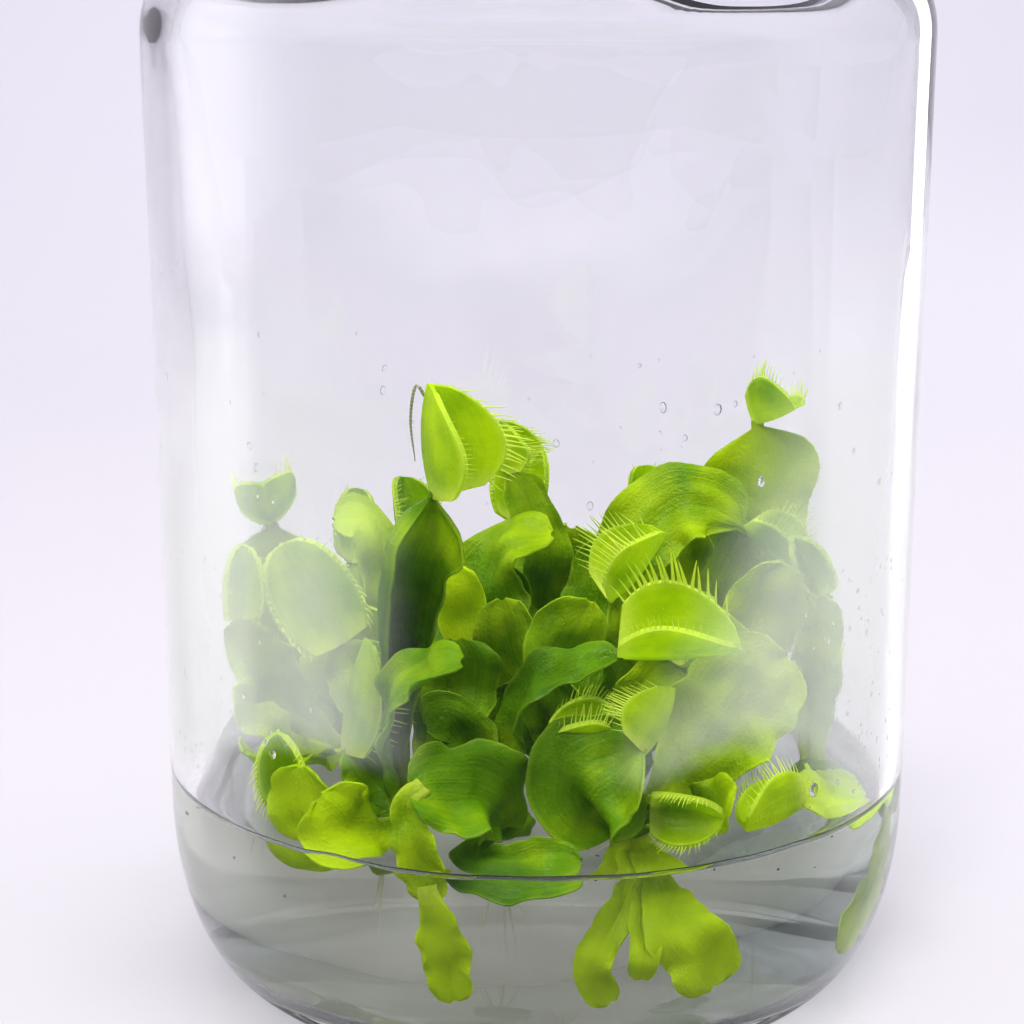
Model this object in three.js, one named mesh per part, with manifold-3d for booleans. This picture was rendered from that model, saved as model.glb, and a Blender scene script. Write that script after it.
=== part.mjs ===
// A clump of young Venus flytraps rooted in clear gel at the bottom of an open glass culture jar.
// Millimetres, +Z up. The origin is on the jar's axis, on the surface that the jar stands on.
// Directions are pairs of degrees: azimuth (0 = +X, 90 = +Y, -90 = front) and elevation.
import * as THREE from "three";
import { mergeVertices } from "three/addons/utils/BufferGeometryUtils.js";
import Module from "manifold-3d";

const wasm = await Module();
wasm.setup();

// ---- Driving dimensions: the jar ----
const JAR_HEIGHT = 112;
const SHOULDER_HEIGHT = 93.4; // where the straight wall ends
const SHOULDER_RADIUS = 38; // outside, at the top of the wall
const WALL_FOOT_RADIUS = 37.5; // outside, at the bottom of the wall
const WALL = 2.4;
const CORNER_HEIGHT = 18; // the round corner between wall and foot
const FOOT_OUTER_RADIUS = 29.5; // the ring that the jar stands on
const FOOT_INNER_RADIUS = 24;
const PUSH_UP = 1.6; // how far the middle of the bottom is lifted
const BOTTOM = 3.4; // glass under the gel
const NECK_RADIUS = 32; // outside
const NECK_BORE = 29.4; // inside radius
const NECK_FOOT = 101; // where the shoulder meets the neck
const BEAD_RADIUS = 33.2;
const BEAD_HEIGHT = 5;
const JAR_SIDES = 40;

// ---- Driving dimensions: the gel ----
const GEL_TOP = 20;
const GEL_CREEP = 1; // how far the gel climbs at the wall
const GEL_GAP = 0.3; // between gel and glass
const WELL_CLEARANCE = 0.55; // round each crown and each sunken leaf

// ---- Driving dimensions: the plants ----
const CROWN_RADIUS = 2.7;
const CROWN_FOOT = 16;
const CROWN_SIDES = 8;
const ROOT_RADIUS = 1.2;
const ROOT_TIP = 9;
const BLADE_THICKNESS = 0.6;
const BASE_HALF_WIDTH = 0.9; // of a leaf where it leaves the crown
const BASE_THICKNESS = 1.1;
const NECK_HALF_WIDTH = 0.7; // between blade and trap
const TIP_HALF_WIDTH = 0.5; // of a leaf without a trap
const TRAP_THICKNESS = 0.6;
const MIDRIB_THICKNESS = 0.9;
const TOOTH_SHARE = 0.38; // tooth length as a share of the lobe's depth
const TOOTH_LEAN = 0.25; // how far the teeth lean in over the mouth
const TOOTH_SPLAY = 0.7; // how far they spread fore and aft
const LOBE_BULGE = 42; // degrees that each lobe is curved through
const LOBE_DEEPEST = 0.42; // where along the trap its lobes are deepest
const LOBE_BEHIND = 0.55; // the lobe's reach behind that place, past the trap's end
const LOBE_AHEAD = 0.6; // and ahead of it
const TRAP_SINK = 0.6; // how far a trap starts inside its blade
const BROADEST = 0.7; // where a blade is widest, unless its leaf says otherwise
const TRAP_NECK = 0.93; // where a blade with a trap has narrowed to its neck
const BASE_TAPER = 0.3; // the share of a blade that thins from the base
const WAVE_RATE = 14; // radians of edge wave along one blade
const DIP_HEIGHT = 2.5; // a leaf that comes this near the gel gets a pocket
const BLADE_STATIONS = [0, 0.18, 0.36, 0.52, 0.67, 0.81, 0.92, 1];
const TRAP_STATIONS = [0, 0.12, 0.25, 0.38, 0.51, 0.64, 0.77, 0.9, 1];
const TRAP_COLUMNS = [-1, -0.5, 0, 0.5, 1];

// ---- Colours ----
const GLASS = { color: 0xdfe6ea, roughness: 0.04, metalness: 0, transparent: true, opacity: 0.35 };
const GEL = { color: 0xc3c6cf, roughness: 0.15, metalness: 0, transparent: true, opacity: 0.7 };
const LEAF = { color: 0x7cae1c, roughness: 0.42, metalness: 0 };

// Each plant has a crown at the gel's surface and the leaves that grow from it.
// A leaf follows its route from the crown to the neck of its trap, or to its tip.
// faces: the way its upper side looks, at the base and (if given) at the end.
// roll: how far each half of the blade turns up. wave: height of the edge's waves.
// A trap starts at the route's end: heads is the way its midrib sets off, opens the way its
// mouth looks, gape the angle between the lobes, curl how far the midrib bends to the mouth.
const PLANTS = [
  {
    name: "plantlet_front_left",
    crown: [-12.5, -16],
    leaves: [
      {
        route: [[-12.8, -16, 19.4], [-13.8, -15.6, 28], [-13.4, -15, 37], [-12.4, -15, 45], [-9.6, -16.6, 51.6]],
        faces: [[-62, 5]],
        width: 13,
        roll: 112,
        broadest: 0.85,
        trap: { length: 11, depth: 7.2, gape: 62, heads: [168, 74], opens: [-28, 5], curl: 34 },
      },
      {
        route: [[-13, -17.5, 19.4], [-14, -21, 28], [-12.6, -23.5, 34.4], [-9.8, -25, 37.4], [-6.8, -25.5, 37.8]],
        faces: [[-145, 45]],
        width: 5.6,
        roll: 25,
        wave: 0.5,
      },
      {
        route: [[-13, -15.5, 19.4], [-15.5, -14.5, 22.5], [-18.5, -14, 26]],
        faces: [[-160, 60]],
        width: 4.5,
        roll: 20,
        trap: { length: 11.5, depth: 4.8, gape: 56, heads: [100, 84], opens: [-15, 0], curl: 26 },
      },
      {
        route: [[-13, -17.4, 19.4], [-14.6, -22.2, 20.6], [-17.4, -25, 22.2], [-19.8, -25.4, 25]],
        faces: [[-100, 42]],
        width: 8,
        roll: 20,
        wave: 0.5,
      },
      {
        route: [[-13.4, -17, 18.8], [-17, -19.6, 19], [-20, -21.6, 20.2], [-21.2, -22.4, 23.4], [-21.4, -22.2, 27]],
        faces: [[-120, 20]],
        width: 7.4,
        roll: 18,
        wave: 0.4,
      },
      {
        route: [[-13.5, -15.6, 19.4], [-18, -15.8, 21], [-22, -16.4, 20.8]],
        faces: [[-100, 70]],
        width: 4,
        roll: 15,
        trap: { length: 9, depth: 4.4, gape: 70, heads: [128, 74], opens: [-106, 12], curl: 40 },
      },
      {
        route: [[-12.5, -14.6, 19.4], [-14.4, -12, 25], [-17, -10.5, 31], [-19.4, -9.5, 35.4]],
        faces: [[-90, 20]],
        width: 6.5,
        roll: 25,
        wave: 0.4,
        trap: { length: 11.5, depth: 6, gape: 84, heads: [150, 52], opens: [-75, 5], curl: 30 },
      },
    ],
  },
  {
    name: "plantlet_front_centre",
    crown: [-3, -18],
    leaves: [
      {
        route: [[-2.6, -18, 19.4], [-2.6, -18, 27.5], [-1, -19, 33], [2.8, -20, 36], [8, -20.6, 37]],
        faces: [[-135, 40]],
        width: 5.4,
        roll: 30,
        wave: 0.4,
        broadest: 0.62,
        trap: { length: 11, depth: 7.2, gape: 54, heads: [-4, -4], opens: [-90, 64], curl: 26 },
      },
      {
        route: [[-3, -19, 19.4], [-3, -22.5, 22.4], [-5.4, -25.6, 25.4], [-8.8, -27.4, 26.4], [-11.6, -28, 26.2]],
        faces: [[-80, 30], [-110, 35]],
        width: 9.5,
        roll: 28,
        wave: 0.6,
        broadest: 0.58,
      },
      {
        route: [[-10.4, -27.6, 26.8], [-11.8, -28.8, 25.4], [-10.8, -29.8, 21.6], [-9, -30, 17.2]],
        faces: [[-100, 30], [-100, -10]],
        width: 4,
        roll: 24,
        broadest: 0.62,
      },
      {
        route: [[-9.6, -29.8, 18.6], [-8.4, -29.8, 14], [-7.2, -28.8, 7.6]],
        faces: [[-100, 0]],
        width: 4.4,
        roll: 20,
        broadest: 0.52,
      },
      {
        route: [[-3.2, -19, 18.8], [-5.4, -22.6, 18.9], [-5.8, -26.6, 18.9], [-2.4, -29.4, 19.2], [3.8, -29.6, 20.2]],
        faces: [[-90, 42]],
        width: 5.6,
        roll: 20,
        broadest: 0.72,
      },
      {
        route: [[-3.6, -17, 19.4], [-5.4, -17.4, 26], [-8, -17.8, 30], [-10.6, -18.4, 29.4]],
        faces: [[-110, 30]],
        width: 5.4,
        roll: 20,
        wave: 0.7,
      },
    ],
  },
  {
    name: "plantlet_front_right",
    crown: [8.5, -17.5],
    leaves: [
      {
        route: [[7.6, -18.4, 19.4], [4.8, -22.4, 22.4], [4.4, -25.6, 26], [7.2, -26.4, 28.8], [9.6, -26.6, 30.2]],
        faces: [[-95, 40]],
        width: 11.5,
        roll: 34,
        wave: 0.4,
        broadest: 0.6,
        trap: { length: 6.6, depth: 4.2, gape: 62, heads: [20, 42], opens: [150, 42], curl: 40 },
      },
      {
        route: [[8, -17, 19.4], [8.6, -18.6, 25], [8.4, -20.4, 28.6], [6.8, -21.8, 29]],
        faces: [[-60, 60], [-90, 80]],
        width: 4.4,
        roll: 20,
        trap: { length: 7, depth: 4.4, gape: 50, heads: [184, -4], opens: [-90, 68], curl: 30 },
      },
      {
        route: [[9.6, -16.8, 19.4], [14.4, -15.6, 25], [19.4, -13.2, 30.8], [24, -11.6, 34.4]],
        faces: [[-95, 12]],
        width: 11.5,
        roll: 22,
        wave: 0.7,
        broadest: 0.66,
      },
      {
        route: [[9, -18.8, 19.4], [9.4, -22.6, 22.4], [10.6, -25, 23.9]],
        faces: [[-90, 60]],
        width: 3.2,
        roll: 15,
        trap: { length: 6.8, depth: 3.8, gape: 84, heads: [0, -2], opens: [-90, -4], curl: 34 },
      },
      {
        route: [[9.2, -18.6, 17.6], [10.4, -24.5, 16], [12, -27.6, 13.6], [14, -27.8, 11], [15.2, -27, 8]],
        faces: [[-80, 30], [-70, -10]],
        width: 6.8,
        roll: 20,
        broadest: 0.8,
      },
      {
        route: [[8.2, -19, 17.6], [7, -25, 15.4], [5.2, -28.4, 12.6], [4.4, -28.6, 10], [6.2, -27.6, 7]],
        faces: [[-90, 30], [-90, -5]],
        width: 3.4,
        roll: 15,
      },
      {
        route: [[8.8, -19, 17.4], [9, -25.4, 14.8], [9, -28.6, 11.8], [8.6, -28.4, 9.4]],
        faces: [[-90, 30], [-90, -5]],
        width: 2.8,
        roll: 15,
      },
      {
        route: [[10, -18.2, 19.4], [14.5, -21.5, 21.4], [17.8, -23.4, 25.4]],
        faces: [[-100, 55]],
        width: 5.6,
        roll: 20,
        wave: 0.5,
      },
    ],
  },
  {
    name: "plantlet_right",
    crown: [29.6, -3],
    leaves: [
      {
        route: [[29.8, -4, 19.2], [30.2, -8, 20], [28.4, -12.8, 20.6], [25, -17, 21.2]],
        faces: [[-90, 50], [-100, 30]],
        width: 6.4,
        roll: 18,
        wave: 0.4,
        broadest: 0.55,
        trap: { length: 9, depth: 4.4, gape: 46, heads: [-130, -14], opens: [178, 52], curl: 26 },
      },
      {
        route: [[29.6, -4, 17.6], [29.8, -9.4, 12.6], [28, -13.4, 9.4], [26.2, -15, 6.8]],
        faces: [[-30, 20], [-40, -10]],
        width: 5,
        roll: 15,
      },
      {
        route: [[29.6, -2.4, 19.4], [30, -1, 27], [29.4, -1.4, 34.4], [28, -2.6, 38.6]],
        faces: [[-100, 10]],
        width: 6,
        roll: 25,
        wave: 0.4,
        trap: { length: 7.4, depth: 4, gape: 60, heads: [180, 62], opens: [-90, 25], curl: 30 },
      },
      {
        route: [[29, -2, 19.4], [28.6, 2.5, 24], [29.4, 6, 31], [29.6, 8, 36.5]],
        faces: [[-80, 20]],
        width: 7,
        roll: 25,
        wave: 0.5,
      },
    ],
  },
  {
    name: "plantlet_middle",
    crown: [3, -4],
    leaves: [
      {
        route: [[3.6, -4, 19.4], [7.6, -5, 27], [8.8, -6.4, 33.6], [7.6, -7.4, 39]],
        faces: [[-60, 20]],
        width: 5,
        roll: 20,
        trap: { length: 8.8, depth: 5.8, gape: 66, heads: [14, 32], opens: [-160, 58], curl: 34 },
      },
      {
        route: [[2.8, -5, 19.4], [1, -9, 27.6], [2, -10.6, 34.6], [5, -10.8, 39.8]],
        faces: [[-70, 12]],
        width: 8,
        roll: 25,
        wave: 0.4,
      },
      {
        route: [[2.2, -4.6, 19.4], [-0.8, -8, 28], [-3, -9.2, 35], [-3.8, -8.8, 39.6]],
        faces: [[-105, 5]],
        width: 6.6,
        roll: 25,
      },
      {
        route: [[1.8, -3.6, 19.4], [-3.6, -5, 28], [-7, -6, 35.4], [-8, -6, 42]],
        faces: [[-90, 15]],
        width: 4.6,
        roll: 20,
      },
      {
        route: [[2, -3, 19.4], [-2.4, -1, 29], [-5, 0.6, 37.6], [-3.4, 1, 42.6], [1.4, 1, 43.4]],
        faces: [[-125, 50]],
        width: 9,
        roll: 28,
        wave: 0.5,
      },
      {
        route: [[3.8, -4.6, 19.4], [9, -7.8, 25.4], [12.4, -9.4, 30.2], [14.4, -10, 33.4]],
        faces: [[-80, 30]],
        width: 8,
        roll: 25,
        wave: 0.4,
        trap: { length: 7.6, depth: 4.6, gape: 60, heads: [40, 50], opens: [-120, 40], curl: 30 },
      },
    ],
  },
  {
    name: "plantlet_back_right",
    crown: [14, 12],
    leaves: [
      {
        route: [[14.6, 12, 19.4], [18.6, 13, 29], [22.8, 13.6, 39], [25, 13.8, 46.6], [24.2, 13.6, 52.6]],
        faces: [[-95, 8]],
        width: 12,
        roll: 20,
        wave: 0.5,
        broadest: 0.83,
        trap: { length: 6.6, depth: 4.6, gape: 76, heads: [-84, 18], opens: [10, 62], curl: 26 },
      },
      {
        route: [[13.4, 11.4, 19.4], [9.8, 9, 30], [10.2, 8, 38], [13.8, 7.6, 43.6], [18.8, 7.4, 45], [22.4, 7.2, 42.4]],
        faces: [[-106, 32]],
        width: 10,
        roll: 24,
        wave: 0.4,
        broadest: 0.68,
        trap: { length: 8, depth: 5, gape: 64, heads: [-20, -52], opens: [-30, 32], curl: 24 },
      },
      {
        route: [[14.6, 11, 19.4], [19.4, 6, 27], [23.6, 2.6, 35], [25.4, 1.4, 40.4]],
        faces: [[-80, 15]],
        width: 8,
        roll: 25,
        wave: 0.5,
      },
      {
        route: [[15, 12.8, 19.4], [20.6, 16, 26], [24.6, 18, 34], [25.6, 18.4, 38.6]],
        faces: [[-140, 35]],
        width: 7,
        roll: 28,
        trap: { length: 8.4, depth: 4.8, gape: 64, heads: [120, 66], opens: [-160, 20], curl: 30 },
      },
      {
        route: [[14.2, 13, 19.4], [15.4, 19, 26], [15, 23.6, 33], [13.8, 25.4, 37.4]],
        faces: [[-95, 40]],
        width: 7.6,
        roll: 26,
        wave: 0.5,
        trap: { length: 9, depth: 5, gape: 62, heads: [100, 50], opens: [-90, 42], curl: 30 },
      },
      {
        route: [[13.2, 13, 19.4], [9.6, 18.4, 23], [8.2, 23.4, 26], [8.4, 27, 27.4]],
        faces: [[0, 88]],
        width: 7,
        roll: 24,
        wave: 0.5,
      },
    ],
  },
  {
    name: "plantlet_back_centre",
    crown: [-3, 10],
    leaves: [
      {
        route: [[-2.4, 9.6, 19.4], [0.4, 8, 31], [0.6, 6.6, 40], [-1.8, 6, 46.2], [-3.6, 5.8, 49.4]],
        faces: [[-60, 30]],
        width: 6.4,
        roll: 24,
        broadest: 0.74,
        trap: { length: 5.6, depth: 4, gape: 50, heads: [170, 66], opens: [-20, 10], curl: 40 },
      },
      {
        route: [[-3.2, 11, 19.4], [-4, 16, 27], [-3.4, 20, 35], [-2.4, 22, 40.4]],
        faces: [[-90, 35]],
        width: 8.4,
        roll: 26,
        wave: 0.5,
        trap: { length: 9.4, depth: 5.4, gape: 64, heads: [85, 52], opens: [-90, 40], curl: 30 },
      },
      {
        route: [[-2.4, 11, 19.4], [1, 17, 22.6], [1.4, 23, 26], [1, 27.4, 28.6]],
        faces: [[-90, 80]],
        width: 7.4,
        roll: 24,
        wave: 0.5,
        trap: { length: 7.2, depth: 4, gape: 70, heads: [100, 70], opens: [-90, 15], curl: 20 },
      },
      {
        route: [[-3.8, 10.8, 19.4], [-9.4, 16, 25], [-12.6, 20.6, 31.6], [-14, 22.8, 36.6]],
        faces: [[-60, 50]],
        width: 8,
        roll: 26,
        wave: 0.5,
        trap: { length: 8.6, depth: 4.6, gape: 62, heads: [110, 58], opens: [-60, 32], curl: 28 },
      },
      {
        route: [[-3.6, 9.4, 19.4], [-9, 6.4, 27], [-12.4, 4.4, 34.6], [-13.2, 3.6, 39.6]],
        faces: [[-90, 20]],
        width: 7,
        roll: 25,
        wave: 0.4,
      },
    ],
  },
  {
    name: "plantlet_left_back",
    crown: [-20, 4],
    leaves: [
      {
        route: [[-20.4, 4.2, 19.4], [-24.4, 5.4, 28], [-26.8, 6, 36.4], [-27.8, 5.6, 43.4]],
        faces: [[-95, 10]],
        width: 9.4,
        roll: 25,
        wave: 0.5,
        broadest: 0.74,
        trap: { length: 7, depth: 4.3, gape: 100, heads: [-92, 16], opens: [150, 74], curl: 20 },
      },
      {
        route: [[-19.4, 4.8, 19.4], [-16.8, 9, 28], [-16.2, 11, 37], [-18.2, 11.4, 42], [-21.8, 11.4, 42]],
        faces: [[-50, 55]],
        width: 7.4,
        roll: 24,
        wave: 0.4,
      },
      {
        route: [[-20.6, 3.4, 19.4], [-25, 0.4, 26], [-28.6, -2, 32.6], [-29.6, -3, 36.4]],
        faces: [[-90, 25]],
        width: 6.4,
        roll: 24,
        wave: 0.4,
        trap: { length: 7.6, depth: 4, gape: 60, heads: [100, 78], opens: [-75, 8], curl: 26 },
      },
      {
        route: [[-20.6, 3, 19.4], [-24.6, -3, 23], [-28, -6.6, 27], [-29.8, -8.6, 30]],
        faces: [[-100, 55]],
        width: 6.4,
        roll: 24,
        wave: 0.5,
      },
      {
        route: [[-20, 2.8, 19.4], [-23, -5, 21.4], [-26, -10.4, 23], [-27.8, -13.6, 25]],
        faces: [[-100, 75]],
        width: 6.6,
        roll: 24,
        wave: 0.5,
      },
      {
        route: [[-20.8, 4.6, 19.4], [-26, 9.6, 24], [-28.4, 12, 31], [-28.4, 12.4, 36.4]],
        faces: [[-45, 30]],
        width: 7,
        roll: 26,
        wave: 0.4,
      },
      {
        route: [[-20, 5.2, 19.4], [-20.6, 12, 24.4], [-20.4, 17.6, 31], [-20.4, 20, 36]],
        faces: [[-70, 40]],
        width: 8,
        roll: 26,
        wave: 0.5,
        trap: { length: 8.6, depth: 4.8, gape: 62, heads: [80, 52], opens: [-80, 38], curl: 30 },
      },
    ],
  },
];

// ---- Small helpers ----
function direction([azimuth, elevation]) {
  const a = THREE.MathUtils.degToRad(azimuth);
  const e = THREE.MathUtils.degToRad(elevation);
  return new THREE.Vector3(Math.cos(a) * Math.cos(e), Math.sin(a) * Math.cos(e), Math.sin(e));
}

// The unit part of a direction that is square to the given axis.
function squareTo(vector, axis) {
  return vector.clone().addScaledVector(axis, -vector.dot(axis)).normalize();
}

// A closed geometry with shared corners and without empty triangles.
function weld(geometry) {
  const bare = geometry.clone();
  bare.deleteAttribute("normal");
  bare.deleteAttribute("uv");
  const merged = mergeVertices(bare, 1e-4);
  const corners = merged.index.array;
  const kept = [];
  for (let i = 0; i < corners.length; i += 3) {
    const [a, b, c] = corners.slice(i, i + 3);
    if (a !== b && b !== c && c !== a) kept.push(a, b, c);
  }
  merged.setIndex(kept);
  return merged;
}

function toSolid(geometry) {
  const welded = weld(geometry);
  const mesh = new wasm.Mesh({
    numProp: 3,
    vertProperties: new Float32Array(welded.attributes.position.array),
    triVerts: new Uint32Array(welded.index.array),
  });
  return new wasm.Manifold(mesh);
}

function fromSolid(solid) {
  const { vertProperties, triVerts } = solid.getMesh();
  const geometry = new THREE.BufferGeometry();
  geometry.setAttribute("position", new THREE.Float32BufferAttribute(vertProperties, 3));
  geometry.setIndex(Array.from(triVerts));
  geometry.computeVertexNormals();
  return geometry;
}

function fuse(solids) {
  return solids.reduce((sum, solid) => sum.add(solid));
}

// Turns a profile of (radius, height) points about the upright axis.
function turned(profile, sides, [x, y] = [0, 0]) {
  const geometry = new THREE.LatheGeometry(profile, sides);
  geometry.rotateX(Math.PI / 2);
  geometry.translate(x, y, 0);
  return geometry;
}

const at = (radius, height) => new THREE.Vector2(radius, height);

// A quarter of an ellipse about (cx, cy), from angle a0 to a1 in degrees.
function arc(cx, cy, rx, ry, a0, a1, steps) {
  return Array.from({ length: steps + 1 }, (_, i) => {
    const angle = THREE.MathUtils.degToRad(a0 + ((a1 - a0) * i) / steps);
    return at(cx + rx * Math.cos(angle), cy + ry * Math.sin(angle));
  });
}

// ---- The jar ----
function jarGeometry() {
  const corner = WALL_FOOT_RADIUS - FOOT_OUTER_RADIUS;
  const shoulderDrop = NECK_FOOT - SHOULDER_HEIGHT;
  const shoulderReach = SHOULDER_RADIUS - NECK_RADIUS;
  const innerReach = SHOULDER_RADIUS - WALL - NECK_BORE;
  const profile = [
    at(0, PUSH_UP),
    at(FOOT_INNER_RADIUS - 5, PUSH_UP * 0.7),
    at(FOOT_INNER_RADIUS, 0),
    ...arc(FOOT_OUTER_RADIUS, CORNER_HEIGHT, corner, CORNER_HEIGHT, -90, 0, 4),
    ...arc(NECK_RADIUS, SHOULDER_HEIGHT, shoulderReach, shoulderDrop, 0, 90, 3),
    at(NECK_RADIUS, JAR_HEIGHT - BEAD_HEIGHT),
    at(BEAD_RADIUS, JAR_HEIGHT - BEAD_HEIGHT + 1),
    at(BEAD_RADIUS, JAR_HEIGHT - 1),
    at(BEAD_RADIUS - 0.8, JAR_HEIGHT),
    at(NECK_BORE + 0.4, JAR_HEIGHT),
    at(NECK_BORE, JAR_HEIGHT - 0.6),
    ...arc(NECK_BORE, SHOULDER_HEIGHT - 1, innerReach, shoulderDrop, 90, 0, 3),
    ...innerBottom(0),
    at(0, PUSH_UP + BOTTOM),
  ];
  return turned(profile, JAR_SIDES);
}

// The inside of the jar below the gel's surface, from the wall down towards the axis,
// drawn in by a gap for what rests in it.
function innerBottom(gap) {
  const wall = WALL_FOOT_RADIUS - WALL - gap;
  const floor = BOTTOM + gap;
  const corner = WALL_FOOT_RADIUS - FOOT_OUTER_RADIUS;
  return arc(wall - corner, CORNER_HEIGHT, corner, CORNER_HEIGHT - floor, 0, -90, 3);
}

// ---- The leaves ----
// A closed sheet on surface(u, s): u runs along it and s across it. With a tooth function its
// two long edges carry a tooth between each pair of stations.
function sheet(surface, stations, columns, thickness, tooth) {
  const points = [];
  const faces = [];
  const step = 1e-3;
  const at3 = (i, j, side) => 2 * (i * columns.length + j) + side;
  for (const u of stations) {
    for (const s of columns) {
      const along = surface(u + step, s).sub(surface(u - step, s));
      const across = surface(u, s + step).sub(surface(u, s - step));
      const lift = across.cross(along).setLength(thickness(u, s) / 2);
      const middle = surface(u, s);
      points.push(middle.clone().add(lift), middle.clone().sub(lift));
    }
  }
  const quad = (a, b, c, d) => faces.push(a, b, c, a, c, d);
  const spike = (corners, tip) => {
    points.push(tip);
    corners.forEach((a, k) => faces.push(a, corners[(k + 1) % 4], points.length - 1));
  };
  const lastRow = stations.length - 1;
  const lastColumn = columns.length - 1;
  for (let i = 0; i < lastRow; i += 1) {
    for (let j = 0; j < lastColumn; j += 1) {
      quad(at3(i, j, 0), at3(i, j + 1, 0), at3(i + 1, j + 1, 0), at3(i + 1, j, 0));
      faces.push(at3(i, j, 1), at3(i + 1, j + 1, 1), at3(i, j + 1, 1));
      faces.push(at3(i, j, 1), at3(i + 1, j, 1), at3(i + 1, j + 1, 1));
    }
    const right = [at3(i, lastColumn, 0), at3(i, lastColumn, 1)];
    right.push(at3(i + 1, lastColumn, 1), at3(i + 1, lastColumn, 0));
    const left = [at3(i, 0, 1), at3(i, 0, 0), at3(i + 1, 0, 0), at3(i + 1, 0, 1)];
    if (tooth) {
      const u = (stations[i] + stations[i + 1]) / 2;
      spike(right, tooth(u, 1));
      spike(left, tooth(u, -1));
    } else {
      quad(...right);
      quad(...left);
    }
  }
  for (let j = 0; j < lastColumn; j += 1) {
    quad(at3(0, j, 0), at3(0, j, 1), at3(0, j + 1, 1), at3(0, j + 1, 0));
    quad(at3(lastRow, j, 1), at3(lastRow, j, 0), at3(lastRow, j + 1, 0), at3(lastRow, j + 1, 1));
  }
  const geometry = new THREE.BufferGeometry().setFromPoints(points);
  geometry.setIndex(faces);
  return toSolid(geometry);
}

// Half the blade's width at u: it widens to its broadest place, then rounds off to the end.
function halfWidth(leaf, u) {
  const broadest = leaf.broadest ?? BROADEST;
  const end = leaf.trap ? NECK_HALF_WIDTH : TIP_HALF_WIDTH;
  const roundOff = leaf.trap ? TRAP_NECK : 1;
  const full = leaf.width / 2;
  if (u < broadest) {
    return BASE_HALF_WIDTH + (full - BASE_HALF_WIDTH) * THREE.MathUtils.smoothstep(u, 0, broadest);
  }
  const fall = Math.min((u - broadest) / (roundOff - broadest), 1);
  return end + (full - end) * Math.sqrt(1 - fall * fall);
}

// The blade, grown by the extra on every side for the pocket that a sunken leaf lies in.
function bladeSolid(leaf, extra = 0) {
  const route = leaf.route.map((p) => new THREE.Vector3(...p));
  const curve = new THREE.CatmullRomCurve3(route, false, "catmullrom", 0.5);
  const length = curve.getLength();
  const first = direction(leaf.faces[0]);
  const final = direction(leaf.faces.at(-1));
  const roll = THREE.MathUtils.degToRad(leaf.roll);
  const surface = (u, s) => {
    const t = THREE.MathUtils.clamp(u, 0, 1);
    const tangent = curve.getTangentAt(t);
    const up = squareTo(first.clone().lerp(final, t), tangent);
    const side = tangent.clone().cross(up);
    const half = halfWidth(leaf, t);
    const share = s * (1 + extra / half);
    const radius = half / roll;
    const rise = (leaf.wave ?? 0) * share * share * ((2 * half) / leaf.width);
    const wave = rise * Math.sin(WAVE_RATE * t + s);
    const point = curve.getPointAt(t).addScaledVector(tangent, (u - t) * length);
    point.addScaledVector(side, radius * Math.sin(share * roll));
    return point.addScaledVector(up, radius * (1 - Math.cos(share * roll)) + wave);
  };
  const thickness = (u) => {
    const atBase = THREE.MathUtils.lerp(BASE_THICKNESS, BLADE_THICKNESS, Math.min(u / BASE_TAPER, 1));
    return atBase + 2 * extra;
  };
  const columns = leaf.roll > 60 ? [-1, -0.6, 0, 0.6, 1] : [-1, 0, 1];
  const margin = extra / length;
  const stations = extra > 0 ? [-margin, ...BLADE_STATIONS.slice(1, -1), 1 + margin] : BLADE_STATIONS;
  return sheet(surface, stations, columns, thickness);
}

// The trap: two lobes hinged on a curved midrib, each with a row of teeth on its rim.
function trapSolid(leaf) {
  const { length, depth, gape, heads, opens, curl } = leaf.trap;
  const ahead = direction(heads);
  const mouth = squareTo(direction(opens), ahead);
  const side = ahead.clone().cross(mouth);
  const start = new THREE.Vector3(...leaf.route.at(-1)).addScaledVector(ahead, -TRAP_SINK);
  const bend = THREE.MathUtils.degToRad(curl);
  const bulge = THREE.MathUtils.degToRad(LOBE_BULGE);
  const half = THREE.MathUtils.degToRad(gape / 2);
  const lobeDepth = (v) => {
    const w = (v - LOBE_DEEPEST) / (v < LOBE_DEEPEST ? LOBE_BEHIND : LOBE_AHEAD);
    return depth * Math.sqrt(Math.max(1 - w * w, 0.02));
  };
  const mouthward = (v) =>
    mouth.clone().multiplyScalar(Math.cos(bend * v)).addScaledVector(ahead, -Math.sin(bend * v));
  const surface = (v, s) => {
    const reach = Math.abs(s) * lobeDepth(v);
    const from = half + bulge / 2;
    const to = from - (bulge * reach) / depth;
    const radius = depth / bulge;
    const point = start.clone();
    point.addScaledVector(ahead, (length * Math.sin(bend * v)) / bend);
    point.addScaledVector(mouth, (length * (1 - Math.cos(bend * v))) / bend);
    point.addScaledVector(mouthward(v), radius * (Math.sin(from) - Math.sin(to)));
    return point.addScaledVector(side, Math.sign(s) * radius * (Math.cos(to) - Math.cos(from)));
  };
  const thickness = (v, s) => (s === 0 ? MIDRIB_THICKNESS : TRAP_THICKNESS);
  const tooth = (v, s) => {
    const rim = surface(v, s);
    const outward = rim.clone().sub(surface(v, s * 0.9)).normalize();
    const along = surface(v + 0.01, s).sub(surface(v - 0.01, s)).normalize();
    outward.addScaledVector(side, -TOOTH_LEAN * s);
    outward.addScaledVector(along, (v - 0.5) * TOOTH_SPLAY);
    const size = depth * TOOTH_SHARE * (0.6 + 1.6 * v * (1 - v));
    return rim.addScaledVector(outward.normalize(), size);
  };
  return sheet(surface, TRAP_STATIONS, TRAP_COLUMNS, thickness, tooth);
}

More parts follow.
